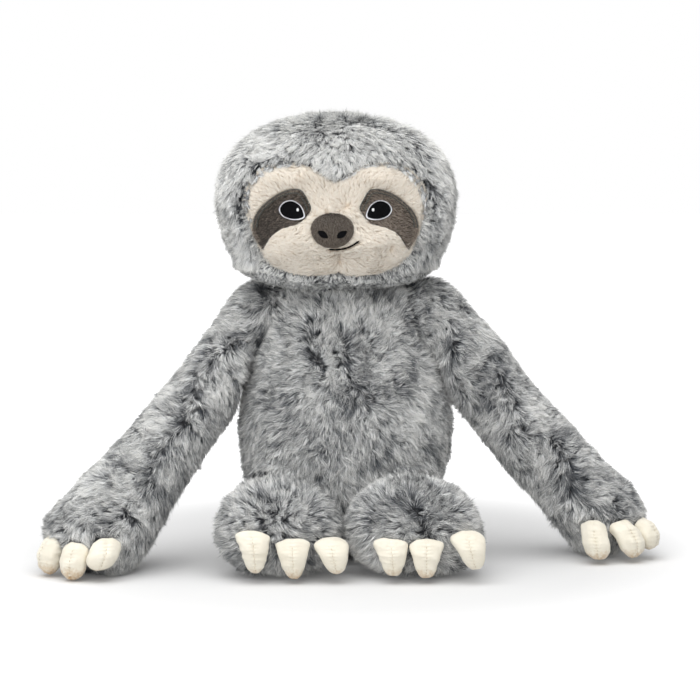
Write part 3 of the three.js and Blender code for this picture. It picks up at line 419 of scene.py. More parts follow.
def points_of(mesh):
    return read(mesh.vertices, "co").astype(float)


def normals_of(mesh):
    return read(mesh.vertex_normals, "vector").astype(float)


def triangles_of(mesh):
    mesh.calc_loop_triangles()
    return read(mesh.loop_triangles, "vertices", np.int32)


def set_points(mesh, points):
    """Moves a mesh's points, and keeps them over the floor."""
    points[:, 2] = np.maximum(points[:, 2], FLOOR_CLEARANCE)
    mesh.vertices.foreach_set("co", points.astype(np.float32).ravel())
    mesh.update()


def scatter(mesh, per_area, rng):
    """Even random places on a mesh with the smooth normals there."""
    points, normals, triangles = points_of(mesh), normals_of(mesh), triangles_of(mesh)
    a, b, c = (points[triangles[:, i]] for i in range(3))
    areas = np.linalg.norm(np.cross(b - a, c - a), axis=1) / 2
    reach = np.cumsum(areas)
    count = int(reach[-1] * per_area)
    pick = np.minimum(np.searchsorted(reach, rng.random(count) * reach[-1]), len(areas) - 1)
    r, s = np.sqrt(rng.random((count, 1))), rng.random((count, 1))
    weights = (1 - r, r * (1 - s), r * s)
    place = sum(w * points[triangles[pick, i]] for i, w in enumerate(weights))
    normal = sum(w * normals[triangles[pick, i]] for i, w in enumerate(weights))
    return place, unit(normal)


def waves(seed, wavelength, parts=3):
    """A smooth random field with about unit strength: place to parts numbers."""
    rng = np.random.default_rng(seed)
    count = WAVE_COUNT
    ways = unit(rng.normal(size=(count, 3))) * TURN / (wavelength * rng.uniform(*WAVE_SPREAD, (count, 1)))
    phases = rng.uniform(0, TURN, (count, parts))
    gains = rng.normal(size=(count, parts)) * math.sqrt(2 / count)

    def field(p):
        return sum(np.sin((p @ ways[i])[:, None] + phases[i]) * gains[i] for i in range(count))

    return field


def dress(piece, body, slot, *nodes, fill=None):
    """Puts a piece on its body and hides the CAD nodes that it stands for. slot and fill are not used."""
    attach(piece, body)
    if nodes:
        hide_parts(*nodes)


# Fabric backings

def join_nodes(nodes):
    points, faces, shift = [], [], 0
    for node in nodes:
        mesh = frame["nodes"][node].data
        points.append(points_of(mesh))
        faces.append(triangles_of(mesh) + shift)
        shift += len(mesh.vertices)
    return np.concatenate(points), np.concatenate(faces)


def largest_part(points, triangles):
    """The connected part with the biggest box."""
    label = np.arange(len(points))
    while True:
        low = label[triangles].min(axis=1)
        before = label.copy()
        for i in range(3):
            np.minimum.at(label, triangles[:, i], low)
        label = label[label]
        if np.array_equal(label, before):
            break
    names = np.unique(label)
    spans = [np.ptp(points[label == n], axis=0).sum() for n in names]
    keep = label == names[int(np.argmax(spans))]
    index = np.cumsum(keep) - 1
    return points[keep], index[triangles[keep[triangles[:, 0]]]]


def remeshed(name, nodes, voxel, rounds, material):
    """The nodes' outer skin as one even, smooth mesh."""
    points, faces = join_nodes(nodes)
    piece = mesh_piece(name, points, [faces], material)
    remesh = piece.modifiers.new("even", "REMESH")
    remesh.mode = "VOXEL"
    remesh.voxel_size = voxel
    smooth = piece.modifiers.new("soft", "SMOOTH")
    smooth.factor = SMOOTHING
    smooth.iterations = rounds
    dg = bpy.context.evaluated_depsgraph_get()
    even = bpy.data.meshes.new_from_object(piece.evaluated_get(dg), depsgraph=dg)
    points, triangles = largest_part(points_of(even), triangles_of(even))
    bpy.data.objects.remove(piece)
    return mesh_piece(name, points, [triangles], material)


class Seat:
    """A limb's round root and its pocket."""

    def __init__(self, joint, kind):
        found = next(j for j in frame["joints"] if j["name"] == joint)
        self.place = np.array(found["pos_m"], float)
        self.radius = ROOT_RADII[kind]
        way, self.mouth = ROOT_MOUTHS[kind]
        outward = -1 if joint.endswith("_l") and kind == "arm" else 1
        self.way = unit(np.array(way, float) * (outward, 1, 1))

    def pocket_share(self, points):
        """0 in the pocket, 1 where the torso is furred."""
        far = np.linalg.norm(points - self.place, axis=1)
        return smooth_step((far - self.radius - POCKET_ROOM) / POCKET_BLEND)

    def root_share(self, points):
        """0 on the part of the root that the pocket hides, 1 where the limb is furred."""
        return smooth_step(((points - self.place) @ self.way - self.mouth) / ROOT_BLEND)


SEATS = {
    "head": Seat("head_turn", "head"),
    "arm_l": Seat("shoulder_swing_l", "arm"),
    "arm_r": Seat("shoulder_swing_r", "arm"),
    "leg_l": Seat("hip_roll_l", "leg"),
    "leg_r": Seat("hip_roll_r", "leg"),
}


def furred_share(body, points):
    if body == "torso":
        return np.prod([seat.pocket_share(points) for seat in SEATS.values()], axis=0)
    return SEATS[body].root_share(points)


def tree_of(backing):
    return BVHTree.FromPolygons(points_of(backing.data).tolist(), triangles_of(backing.data).tolist())


def depth_in(tree, points, near):
    """How deep each point lies inside a closed mesh; far ones count as outside."""
    found = np.full(len(points), -near)
    for i, point in enumerate(points):
        place, normal, _, far = tree.find_nearest(Vector(point), near)
        if place is not None:
            found[i] = far if (Vector(point) - place).dot(normal) < 0 else -far
    return found


def within(points, low, high, margin):
    return np.all((points > np.array(low) - margin) & (points < np.array(high) + margin), axis=1)


# Strands

def strand_piece(name, root, middle, tip, side, tone, material):
    """Flat tapering blades of two steps. Their UV runs across by tone and along from root to tip."""
    count = len(root)
    waist = side * MIDDLE_WIDTH
    blade = [root - side, root + side, middle - waist, middle + waist, tip]
    first = np.arange(count)[:, None] * len(blade)
    quads = first + np.array([0, 1, 3, 2])
    tips = first + np.array([2, 3, 4])
    along = np.tile([0, 0, 0.5, 0.5, 1], (count, 1))
    uv = np.stack([np.repeat(tone[:, None], len(blade), 1), along], 2)
    points = np.stack(blade, 1).reshape(-1, 3)
    return mesh_piece(name, points, [quads, tips], material, uv.reshape(-1, 2), False)


def strand_pieces(name, strands, material, body):
    """Strands in as many pieces as keep each one small, ordered from front to back."""
    order = np.argsort(strands[0][:, 1])
    parts = max(1, math.ceil(len(order) / PIECE_STRANDS))
    for number, chosen in enumerate(np.array_split(order, parts), 1):
        piece = strand_piece(f"{name}_{number}", *(part[chosen] for part in strands), material)
        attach(piece, body)


def gathered(points, groups, pull):
    """Points drawn towards the mean of their group."""
    sizes = np.bincount(groups)
    means = np.stack([np.bincount(groups, points[:, i]) / np.maximum(sizes, 1) for i in range(3)], 1)
    return points + (means[groups] - points) * pull[:, None]


def tufts_of(points, size, rng):
    """Group numbers: the nearest of one random place in each cell round about."""
    cell = np.floor(points / size).astype(np.int64)
    best = np.full(len(points), np.inf)
    owner = np.zeros(len(points), np.int64)
    base = rng.integers(1, 1 << 30)
    for step in np.ndindex(3, 3, 3):
        near = cell + np.array(step) - 1
        key = np.bitwise_xor.reduce(near * CELL_KEYS, axis=1) ^ base
        # Ten bits from the middle of each product give a share from 0 to 1
        jitter = np.stack([((key * m) >> 12 & 1023) / 1023 for m in CELL_JITTERS], 1)
        far = np.linalg.norm((near + jitter) * size - points, axis=1)
        closer = far < best
        best = np.where(closer, far, best)
        owner = np.where(closer, key, owner)
    return np.unique(owner, return_inverse=True)[1]


def laid(ways, normals):
    """What is left of directions along the surface."""
    return ways - normals * np.sum(ways * normals, axis=1, keepdims=True)


def grow(
    root, normal, comb, length, height, rng, lean=1, tuft=TUFT, pull=TUFT_PULL,
    width=STRAND_HALF_WIDTH, turns=TURNS,
):
    """Bent strands that lean along comb and stand height high; returns middles, tips, sides and tufts."""
    count = len(root)
    comb = unit(laid(comb, normal))
    groups = tufts_of(root, tuft, rng)
    total = groups.max() + 1
    stand = height * rng.uniform(*STAND_UNEVEN, total)[groups] * rng.uniform(*STAND_STRAND, count)
    run = lean * np.sqrt(np.maximum(length ** 2 - stand ** 2, 0)) * rng.uniform(*RUN_STRAND, count)
    turn = rng.normal(0, turns[0], total)[groups] + rng.normal(0, turns[1], count)
    turn *= 1 + JUMBLE * (1 - lean)
    cross = np.cross(normal, comb)
    comb = comb * np.cos(turn)[:, None] + cross * np.sin(turn)[:, None]
    middle = root + normal * (BEND[0] * stand)[:, None] + comb * (BEND[1] * run)[:, None]
    tip = root + normal * stand[:, None] + comb * run[:, None]
    draw = rng.uniform(*pull, total)[groups]
    tip = gathered(tip, groups, draw)
    middle = gathered(middle, groups, draw * MIDDLE_PULL)
    along = unit(tip - root)
    flat = unit(np.cross(along, normal))
    twist = rng.normal(0, TWIST, count)[:, None]
    side = flat * np.cos(twist) + np.cross(along, flat) * np.sin(twist)
    side *= width * rng.uniform(*WIDTH_STRAND, (count, 1))
    return middle, tip, side, groups


whorl = waves(FIELD_SEEDS["whorl"], WHORL)
ruffle = waves(FIELD_SEEDS["ruffle"], RUFFLE)
mottle = waves(FIELD_SEEDS["mottle"], MOTTLE, parts=1)
fleck = waves(FIELD_SEEDS["fleck"], FLECK, parts=1)
crooked = waves(FIELD_SEEDS["parting"], PARTING, parts=1)


def parted(p):
    """Away from the crooked lines where one smooth field crosses zero."""
    level = crooked(p)
    slope = np.stack([crooked(p + PARTING_STEP * axis)[:, 0] for axis in (X, Y, Z)], 1) - level
    return unit(slope) * np.tanh(level / PARTING_SOFTNESS) * np.exp(-(level ** 2))


def opened(p):
    """How far the pile falls open, which is most at those lines."""
    return np.exp(-((crooked(p)[:, 0] / OPENING_WIDTH) ** 2))


def grown_share():
    return 1


def fur(
    name, body, backing, comb, keep_out=(), around=(), opening=opened, over=None,
    size=1, tint=0, **looks,
):
    """Long fur over a backing. keep_out gives tests of places with no fur, around the meshes it clears;
    opening says where it falls open, and over holds strands out of what they overhang."""
    rng = np.random.default_rng(FUR_SEEDS[name])
    root, normal = scatter(backing.data, STRANDS_PER_AREA * grown_share(), rng)
    share = furred_share(body, root)
    keep = (share > POCKET_BARE) | (body != "torso")
    for test in keep_out:
        keep &= ~test(root)
    root, normal, share = root[keep], normal[keep], share[keep]
    kind = body.split("_")[0]
    flow = comb(root) + WHORL_PULL[kind] * whorl(root) + RUFFLE_PULL * ruffle(root)
    flow = laid(flow + PARTING_PULL[kind] * parted(root), normal)
    combed = smooth_step(np.linalg.norm(flow, axis=1))
    height = PILE_STAND + (PILE_HEIGHT - PILE_STAND) * combed
    height = height * np.where(rng.random(len(root)) < STRAY_SHARE, STRAY_LIFT, 1)
    grown = SHORT_SHARE + (1 - SHORT_SHARE) * share
    lean = LEAST_LEAN + (1 - LEAST_LEAN) * combed
    grown *= size
    blades = grow(root, normal, flow, PILE_LENGTH * grown, height * grown, rng, lean, **looks)
    middle, tip, side, groups = blades
    clear = over(middle, tip) if over else np.ones(len(root), bool)
    for tree, low, high, depth in around:
        for spot in (root, middle, tip):
            close = np.flatnonzero(clear & within(spot, low, high, CLEAR_MARGIN))
            clear[close] = depth_in(tree, spot[close], CLEAR_NEAR) < depth
    for spot in (root, middle, tip):
        spot[:, 2] = np.maximum(spot[:, 2], FLOOR_CLEARANCE)
    # The head's shift in this is painted light from above
    tone = TONE_MEAN + TONE_AND_PAINTED_LIGHT_SHIFTS[kind] + tint
    tone = tone + TONE_MOTTLE * mottle(root)[:, 0] + TONE_FLECK * fleck(root)[:, 0]
    locks = tufts_of(root, LOCK, rng)
    tone += TONE_LOCK * rng.normal(size=locks.max() + 1)[locks]
    # Beside partings the strands are darker, partly for the dark roots there and partly as painted shade in
    # the gap
    tone += TONE_TUFT * rng.normal(size=groups.max() + 1)[groups] - OPENING_ROOTS_AND_PAINTED_SHADE[kind] * opening(root)
    tone = np.clip(tone + TONE_STRAND * rng.normal(size=len(root)), *TONE_ENDS)
    strands = (root, middle, tip, side, tone)
    strand_pieces(f"{name}_fur", [part[clear] for part in strands], LONG_FUR, body)


# Materials

def new_material(name, roughness):
    material = bpy.data.materials.new(name)
    material.use_nodes = True
    shader = material.node_tree.nodes["Principled BSDF"]
    shader.inputs["Roughness"].default_value = roughness
    shader.inputs["Specular IOR Level"].default_value = LUSTRE
    return material, material.node_tree, shader


def add(tree, kind, links=None, **settings):
    """A node with its settings, its inputs linked or set by name."""
    node = tree.nodes.new("ShaderNode" + kind)
    for key, value in settings.items():
        setattr(node, key, value)
    for key, value in (links or {}).items():
        if isinstance(value, bpy.types.NodeSocket):
            tree.links.new(value, node.inputs[key])
        else:
            node.inputs[key].default_value = value
    return node


def ramp(tree, factor, stops):
    stops = list(stops)
    node = add(tree, "ValToRGB", {"Fac": factor})
    elements = node.color_ramp.elements
    while len(elements) < len(stops):
        elements.new(0.5)
    for element, (place, colour) in zip(elements, stops):
        element.position = place
        element.color = (*colour, 1)
    return node.outputs["Color"]


def mix(tree, factor, a, b):
    """Between two colours. A colour mix has its factor, first and second colour at these places."""
    return add(tree, "Mix", {0: factor, 6: a, 7: b}, data_type="RGBA").outputs[2]


def pile_material(name, dark_stops, light_stops, roughness, sheen=0.0):
    """Strand colour: from root to tip along V, between a dark and a light kind of strand along U."""
    material, tree, shader = new_material(name, roughness)
    uv = add(tree, "UVMap", uv_map="OFBake")
    parts = add(tree, "SeparateXYZ", {"Vector": uv.outputs["UV"]})
    dark = ramp(tree, parts.outputs["Y"], dark_stops)
    light = ramp(tree, parts.outputs["Y"], light_stops)
    colour = mix(tree, parts.outputs["X"], dark, light)
    tree.links.new(colour, shader.inputs["Base Color"])
    shader.inputs["Sheen Weight"].default_value = sheen
    return material


def finish(tree, shader, colour, height, strength, relief, sheen):
    """Gives a shader its colour, its unevenness and its sheen."""
    uneven = add(tree, "Bump", {"Height": height, "Strength": strength, "Distance": relief})
    tree.links.new(colour, shader.inputs["Base Color"])
    tree.links.new(uneven.outputs["Normal"], shader.inputs["Normal"])
    shader.inputs["Sheen Weight"].default_value = sheen


def cloth_material(name, low, high, roughness, scale, bump, grain=CLOTH_GRAIN, sheen=0.0, second=None):
    """Woven or knitted cloth: a soft change of colour, a fine grain in the bump and a sheen."""
    material, tree, shader = new_material(name, roughness)
    place = add(tree, "TexCoord").outputs["Object"]
    soft = add(tree, "TexNoise", {"Vector": place, "Scale": scale, **CLOTH_DYE})
    fine = add(tree, "TexNoise", {"Vector": place, "Scale": grain, **WEAVE})
    colour = ramp(tree, soft.outputs["Fac"], zip(CLOTH_ENDS, (low, high)))
    if second:
        colour = second(tree, place, colour)
    finish(tree, shader, colour, fine.outputs["Fac"], bump, CLOTH_RELIEF, sheen)
    return material


def thread_material(name, low, high, roughness=0.42, sheen=0.2, lustre=LUSTRE):
    """Embroidery thread: lustrous, with fine ply lines."""
    material, tree, shader = new_material(name, roughness)
    shader.inputs["Specular IOR Level"].default_value = lustre
    place = add(tree, "TexCoord").outputs["Object"]
    soft = add(tree, "TexNoise", {"Vector": place, **THREAD_DYE})
    colour = ramp(tree, soft.outputs["Fac"], zip(THREAD_ENDS, (low, high)))
    ply = add(tree, "TexWave", {"Vector": place, **PLY})
    finish(tree, shader, colour, ply.outputs["Fac"], PLY_STRENGTH, THREAD_RELIEF, sheen)
    return material


LONG_FUR = pile_material(
    "long_fur",
    [
        (0.0, (0.016, 0.02, 0.027)), (0.4, (0.024, 0.03, 0.039)),
        (0.75, (0.065, 0.076, 0.09)), (1.0, (0.22, 0.23, 0.24)),
    ],
    [
        (0.0, (0.045, 0.054, 0.066)), (0.3, (0.22, 0.236, 0.256)),
        (0.55, (0.9, 0.91, 0.91)), (1.0, (1.0, 0.99, 0.95)),
    ],
    roughness=0.5, sheen=0.3,
)
FACE_PILE = pile_material(
    "face_pile",
    [(0.0, (0.84, 0.71, 0.57)), (0.5, (0.95, 0.86, 0.745)), (1.0, (0.98, 0.92, 0.83))],
    [(0.0, (0.9, 0.79, 0.66)), (0.5, (1.0, 0.94, 0.845)), (1.0, (1.0, 0.97, 0.9))],
    roughness=0.7, sheen=0.25,
)
PATCH_PILE = pile_material(
    "patch_pile",
    [(0.0, (0.02, 0.016, 0.014)), (0.5, (0.05, 0.041, 0.034)), (1.0, (0.1, 0.083, 0.07))],
    [(0.0, (0.1, 0.081, 0.066)), (0.5, (0.26, 0.212, 0.172)), (1.0, (0.46, 0.385, 0.32))],
    roughness=0.7, sheen=0.15,
)
NOSE_PILE = pile_material(
    "nose_pile",
    [(0.0, (0.048, 0.039, 0.031)), (1.0, (0.13, 0.107, 0.086))],
    [(0.0, (0.076, 0.062, 0.05)), (1.0, (0.32, 0.27, 0.22))],
    roughness=0.7, sheen=0.2,
)
BACKING = cloth_material(
    "fur_backing", (0.06, 0.063, 0.067), (0.1, 0.104, 0.108), roughness=0.9, scale=120.0, bump=0.5
)
FACE_CLOTH = cloth_material(
    "face_cloth", (0.72, 0.63, 0.53), (0.82, 0.74, 0.64), roughness=0.85, scale=60.0, bump=0.6, sheen=0.2
)
PATCH_CLOTH = cloth_material(
    "patch_cloth", (0.03, 0.025, 0.021), (0.06, 0.05, 0.042), roughness=0.85, scale=90.0, bump=0.6
)
NOSE_CLOTH = cloth_material(
    "nose_cloth", (0.06, 0.05, 0.043), (0.09, 0.076, 0.065), roughness=0.8, scale=90.0, bump=0.6
)
BAG_CLOTH = cloth_material(
    "bag_cloth", (0.62, 0.6, 0.55), (0.7, 0.68, 0.63), roughness=0.85, scale=50.0, bump=0.6
)
BLACK_THREAD = thread_material(
    "black_thread", (0.0015, 0.0015, 0.002), (0.004, 0.004, 0.005), roughness=0.55, sheen=0.0, lustre=0.06
)
PALE_THREAD = thread_material("pale_thread", (0.78, 0.78, 0.83), (0.93, 0.93, 0.96))
WHITE_THREAD = thread_material("white_thread", (0.85, 0.85, 0.86), (0.92, 0.92, 0.93))
BROWN_THREAD = thread_material("brown_thread", (0.02, 0.025, 0.02), (0.07, 0.08, 0.068))
SEAM_THREAD = thread_material("seam_thread", (0.1, 0.1, 0.11), (0.16, 0.16, 0.17), roughness=0.6)
CLAW_THREAD = thread_material("claw_thread", (0.5, 0.4, 0.27), (0.76, 0.68, 0.54), roughness=0.6)


def browned_low(tree, place, colour):
    """Browner low down on the claw tips, and patchy."""
    parts = add(tree, "SeparateXYZ", {"Vector": place})
    patchy = add(tree, "TexNoise", {"Vector": place, **BROWN_PATCHES})
    low = add(tree, "MapRange", {"Value": parts.outputs["Z"], "From Min": BROWN_FROM, "From Max": BROWN_TO})
    both = add(tree, "Math", {0: low.outputs["Result"], 1: patchy.outputs["Fac"]}, operation="MULTIPLY")
    edge = add(tree, "MapRange", {
        "Value": both.outputs["Value"], "From Min": BROWN_EDGES[0], "From Max": BROWN_EDGES[1],
    })
    return mix(tree, edge.outputs["Result"], colour, CLAW_TIP_BROWN)


CLAW_CLOTH = cloth_material(
    "claw_cloth", (0.79, 0.735, 0.61), (0.87, 0.825, 0.71), roughness=0.85, scale=90.0, bump=0.7,
    grain=CLAW_GRAIN, sheen=0.25, second=browned_low,
)


# Studio and camera

def background_ray(tree):
    """1 for the rays that see the background: straight, mirrored and through clear material."""
    ray = add(tree, "LightPath")
    sight = {0: ray.outputs["Is Camera Ray"], 1: ray.outputs["Is Glossy Ray"]}
    seen = add(tree, "Math", sight, operation="MAXIMUM")
    through = {0: seen.outputs["Value"], 1: ray.outputs["Is Transmission Ray"]}
    return add(tree, "Math", through, operation="MAXIMUM").outputs["Value"]


def make_studio():
    floor = bpy.data.materials.new("floor")
    floor.use_nodes = True
    tree = floor.node_tree
    tree.nodes.clear()
    paper = add(tree, "BsdfDiffuse", {"Color": (FLOOR_COLOUR, FLOOR_COLOUR, FLOOR_COLOUR, 1)})
    place = add(tree, "TexCoord").outputs["Object"]
    far = add(tree, "VectorMath", {0: place}, operation="LENGTH").outputs["Value"]
    ends = dict(zip(("From Min", "From Max", "To Min", "To Max"), FLOOR_FADE + FLOOR_LIFT))
    near = add(tree, "MapRange", {"Value": far, **ends}, interpolation_type="SMOOTHSTEP")
    lift = add(tree, "Math", {0: background_ray(tree), 1: near.outputs["Result"]}, operation="MULTIPLY")
    glow = add(tree, "Emission", {"Strength": lift.outputs["Value"]})
    both = add(tree, "AddShader", {0: paper.outputs["BSDF"], 1: glow.outputs["Emission"]})
    add(tree, "OutputMaterial", {"Surface": both.outputs["Shader"]})
    corners = np.array([(-1, -1, 0), (1, -1, 0), (1, 1, 0), (-1, 1, 0)]) * FLOOR_HALF
    mesh_piece("floor", corners, [np.array([[0, 1, 2, 3]])], floor)

    world = bpy.data.worlds.new("studio")
    bpy.context.scene.world = world
    world.use_nodes = True
    tree = world.node_tree
    tree.nodes.clear()
    light = add(tree, "Background", {"Color": WHITE, "Strength": SKY_STRENGTH})
    seen = add(tree, "Background", {"Color": WHITE, "Strength": 1.0})
    both = add(tree, "MixShader", {0: background_ray(tree), 1: light.outputs[0], 2: seen.outputs[0]})
    add(tree, "OutputWorld", {"Surface": both.outputs["Shader"]})


def aimed(data, place, back):
    """A lamp or camera at a place, with its back turned to a direction."""
    thing = bpy.data.objects.new(data.name, data)
    thing.location = place
    thing.rotation_mode = "QUATERNION"
    thing.rotation_quaternion = back.to_track_quat("Z", "Y")
    bpy.context.scene.collection.objects.link(thing)
    return thing


def make_lamp(name, place, size, power):
    data = bpy.data.lights.new(name, "AREA")
    data.shape = "SQUARE"
    data.size = size
    data.energy = power
    aimed(data, place, Vector(place) - Vector(CAMERA_TARGET))


def make_camera():
    data = bpy.data.cameras.new("camera")
    data.lens = CAMERA_LENS_SHARE * data.sensor_width
    up = math.radians(CAMERA_ELEVATION)
    away = Vector((0, -math.cos(up), math.sin(up)))
    bpy.context.scene.camera = aimed(data, Vector(CAMERA_TARGET) + away * CAMERA_DISTANCE, away)
    bpy.context.scene.view_settings.view_transform = "Standard"


make_studio()
make_lamp("top_lamp", TOP_LAMP_PLACE, TOP_LAMP_SIZE, TOP_LAMP_POWER)
make_lamp("front_lamp", FRONT_LAMP_PLACE, FRONT_LAMP_SIZE, FRONT_LAMP_POWER)
make_camera()


# Outlines and sheets of the face

def closed_curve(points, count):
    """A smooth closed line through points."""
    points = np.array(points, float)
    t = np.arange(count) / count * len(points)
    i = t.astype(int)
    f = (t - i)[:, None]
    a, b, c, d = (points[(i + k) % len(points)] for k in (-1, 0, 1, 2))
    bent = 2 * b + (c - a) * f + (2 * a - 5 * b + 4 * c - d) * f ** 2
    return 0.5 * (bent + (3 * b - 3 * c + d - a) * f ** 3)


def outline_of(node, shares, count, mirrored=False, sign=1):
    """The outline in X and Z, stretched to a CAD node's box, and its middle."""
    if mirrored:
        shares = shares + [(-x, z) for x, z in shares[-2:0:-1]]
    curve = closed_curve(shares, count) * (sign, 1)
    low, high = (np.array(corner)[[0, 2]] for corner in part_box(node))
    scale = (high - low) / np.ptp(curve, axis=0)
    return low + (curve - curve.min(axis=0)) * scale, low - curve.min(axis=0) * scale


def scaled(line, middle, share):
    return middle + (line - middle) * share


def in_outline(line, x, z):
    """Which places lie inside a closed line, by counting crossings."""
    inside = np.zeros(len(x), bool)
    for (x1, z1), (x2, z2) in zip(line, np.roll(line, -1, axis=0)):
        crosses = (z1 > z) != (z2 > z)
        inside ^= crosses & (x < (x2 - x1) * (z - z1) / (z2 - z1 if z2 != z1 else 1) + x1)
    return inside


class Surface:
    """A smooth y at each x and z through the front points of a CAD node."""

    def __init__(self, node):
        points = points_of(frame["nodes"][node].data)
        order = np.argsort(points[:, 1])
        keys = np.round(points[order][:, [0, 2]], PLACE_DIGITS)
        _, first = np.unique(keys, axis=0, return_index=True)
        self.points = points[order][first]
        self.scale = np.ptp(self.points[:, 0])
        count = len(self.points)
        flat = self.points[:, [0, 2]] / self.scale
        wall = np.c_[np.ones(count), flat]
        matrix = np.block([[self.kernel(flat, flat), wall], [wall.T, np.zeros((3, 3))]])
        self.flat = flat
        self.weights = np.linalg.solve(matrix, np.r_[self.points[:, 1], np.zeros(3)])

    @staticmethod
    def kernel(a, b):
        r2 = np.sum((a[:, None] - b[None]) ** 2, axis=2)
        return r2 * np.log(np.maximum(r2, TINY))

    def __call__(self, x, z):
        flat = np.stack([np.ravel(x), np.ravel(z)], 1) / self.scale
        plane = np.c_[np.ones(len(flat)), flat] @ self.weights[-3:]
        y = self.kernel(flat, self.flat) @ self.weights[:-3] + plane
        return y.reshape(np.shape(x))


def lifted(flat, depth, *rises):
    """Places in space from pairs of X and Z: at the depth there, and by rises before it."""
    y = depth(flat[..., 0], flat[..., 1])
    for rise in rises:
        y = y - rise
    return np.stack([flat[..., 0], y, flat[..., 1]], -1)


def arch(steps):
    """0 at both ends of a stitch and 1 at its middle."""
    return np.sin(np.linspace(0, math.pi, steps))


def turned_by(angle):
    """Rotation for rows of X and Z."""
    c, s = math.cos(angle), math.sin(angle)
    return np.array([[c, -s], [s, c]])


def draped(name, line, middle, rings, front, back, material):
    """A closed sheet inside an outline. front and back give y at x, z and the share of the way out."""
    shares = np.sqrt(np.linspace(0, 1, rings + 1)[1:])
    count = len(line)

    def layer(depth):
        flat = middle + shares[:, None, None] * (line - middle)
        share = np.broadcast_to(shares[:, None], flat.shape[:2])
        return lifted(flat, lambda x, z: depth(x, z, share)).reshape(-1, 3)

    def tip(depth):
        x, z = np.array([middle[0]]), np.array([middle[1]])
        return np.array([[middle[0], depth(x, z, np.zeros(1))[0], middle[1]]])

    points = np.concatenate([layer(front), layer(back), tip(front), tip(back)])
    i = np.arange(count)
    ahead = (i + 1) % count
    last = rings * count * 2
    faces = []
    for start, turned in ((0, False), (rings * count, True)):
        for ring in range(rings - 1):
            low = start + ring * count
            quad = np.stack([low + i, low + ahead, low + count + ahead, low + count + i], 1)
            faces.append(quad[:, ::-1] if turned else quad)
    rim, under = (rings - 1) * count, (2 * rings - 1) * count
    faces.append(np.stack([rim + i, rim + ahead, under + ahead, under + i], 1))
    hub, far_side = np.full(count, last), rings * count
    fans = [np.stack([hub, ahead, i], 1), np.stack([hub + 1, far_side + i, far_side + ahead], 1)]
    piece = mesh_piece(name, points, [np.concatenate(faces), np.concatenate(fans)], material)
    flip_outward(piece)
    return piece


def flip_outward(piece):
    """Turns all faces over if the closed mesh came out inside out."""
    points, triangles = points_of(piece.data), triangles_of(piece.data)
    a, b, c = (points[triangles[:, i]] for i in range(3))
    if np.einsum("ij,ij->i", a, np.cross(b, c)).sum() < 0:
        piece.data.flip_normals()


def threads(name, paths, radius, material, sides=THREAD_SIDES):
    """Round threads along paths (threads, steps, 3), closed and thinner at both ends."""
    paths = np.asarray(paths, float)
    count, steps = paths.shape[:2]
    along = unit(np.gradient(paths, axis=1))
    across = unit(np.cross(along, Y))
    out = np.cross(across, along)
    thin = np.ones(steps)
    thin[[0, -1]] = THREAD_END_SHARE
    angles = np.arange(sides) / sides * TURN
    ring = (
        across[:, :, None] * np.cos(angles)[None, None, :, None]
        + out[:, :, None] * np.sin(angles)[None, None, :, None]
    )
    tubes = paths[:, :, None] + ring * (radius * thin)[None, :, None, None]
    points = tubes.reshape(-1, 3)
    base = np.arange(count)[:, None, None] * steps * sides
    row = np.arange(steps - 1)[None, :, None] * sides
    i = np.arange(sides)[None, None]
    ahead = (i + 1) % sides
    low = base + row
    quads = np.stack([low + i, low + ahead, low + sides + ahead, low + sides + i], 3).reshape(-1, 4)
    starts = (np.arange(count)[:, None] * steps * sides + np.arange(sides)[None, ::-1])
    ends = (np.arange(count)[:, None] * steps + steps - 1) * sides + np.arange(sides)[None]
    piece = mesh_piece(name, points, [quads, np.concatenate([starts, ends])], material)
    return piece


# Face

face_surface = Surface("face_panel")
face_line, face_middle = outline_of("face_panel", FACE_SHARES, POINTS["face"], mirrored=True)
face_lumps = waves(FIELD_SEEDS["lumps"], PANEL_LUMP_SIZE, parts=1)
mouth_curve = np.polyfit(*np.array(MOUTH_LINE).T, 3)


def dome(share, edge, rise):
    return edge + (rise - edge) * np.sqrt(np.clip(1 - share ** 2, 0, 1))


def face_front(x, z, share=0.0):
    """The panel's front, with its creases and soft lumps."""
    y = face_surface(x, z)
    for (aside, up), (wide, high), rise in FACE_FORMS:
        far = ((np.abs(x - face_middle[0]) - aside) / wide) ** 2 + ((z - face_middle[1] - up) / high) ** 2
        y = y - rise * np.exp(-far)
    y = y + PANEL_TUCK * smooth_step((share - PANEL_TUCK_FROM) / (1 - PANEL_TUCK_FROM))
    across, up = x - face_middle[0], z - face_middle[1]
    aside, deep, wide = CHIN_CREASE
    below = smooth_step((MOUTH_LINE[3][1] - up) / CHIN_FADE)
    y = y + deep * below * np.exp(-(((across - aside) / wide) ** 2))
    deep, wide = MOUTH_CREASE
    far = up - np.polyval(mouth_curve, np.clip(across, MOUTH_LINE[0][0], MOUTH_LINE[-1][0]))
    start, end = MOUTH_FADE
    ends = smooth_step((across - MOUTH_LINE[0][0]) / start)
    ends = ends * smooth_step((MOUTH_LINE[-1][0] - across) / end + 1)
    y = y + deep * ends * np.exp(-((far / wide) ** 2))
    flat = np.stack([np.ravel(x), np.zeros(np.size(x)), np.ravel(z)], 1)
    return y + PANEL_LUMP * face_lumps(flat)[:, 0].reshape(np.shape(x))


def share_of(x, z, middle, half):
    """How far out places lie in an oval, from 0 at its middle to 1 at its edge and beyond."""
    return np.clip(np.hypot((x - middle[0]) / half[0], (z - middle[1]) / half[1]), 0, 1)


def panel_side(x, z, share):
    """The back of what is sewn on the panel."""
    return face_front(x, z) - UNDER_SHARE * PILE_GAP


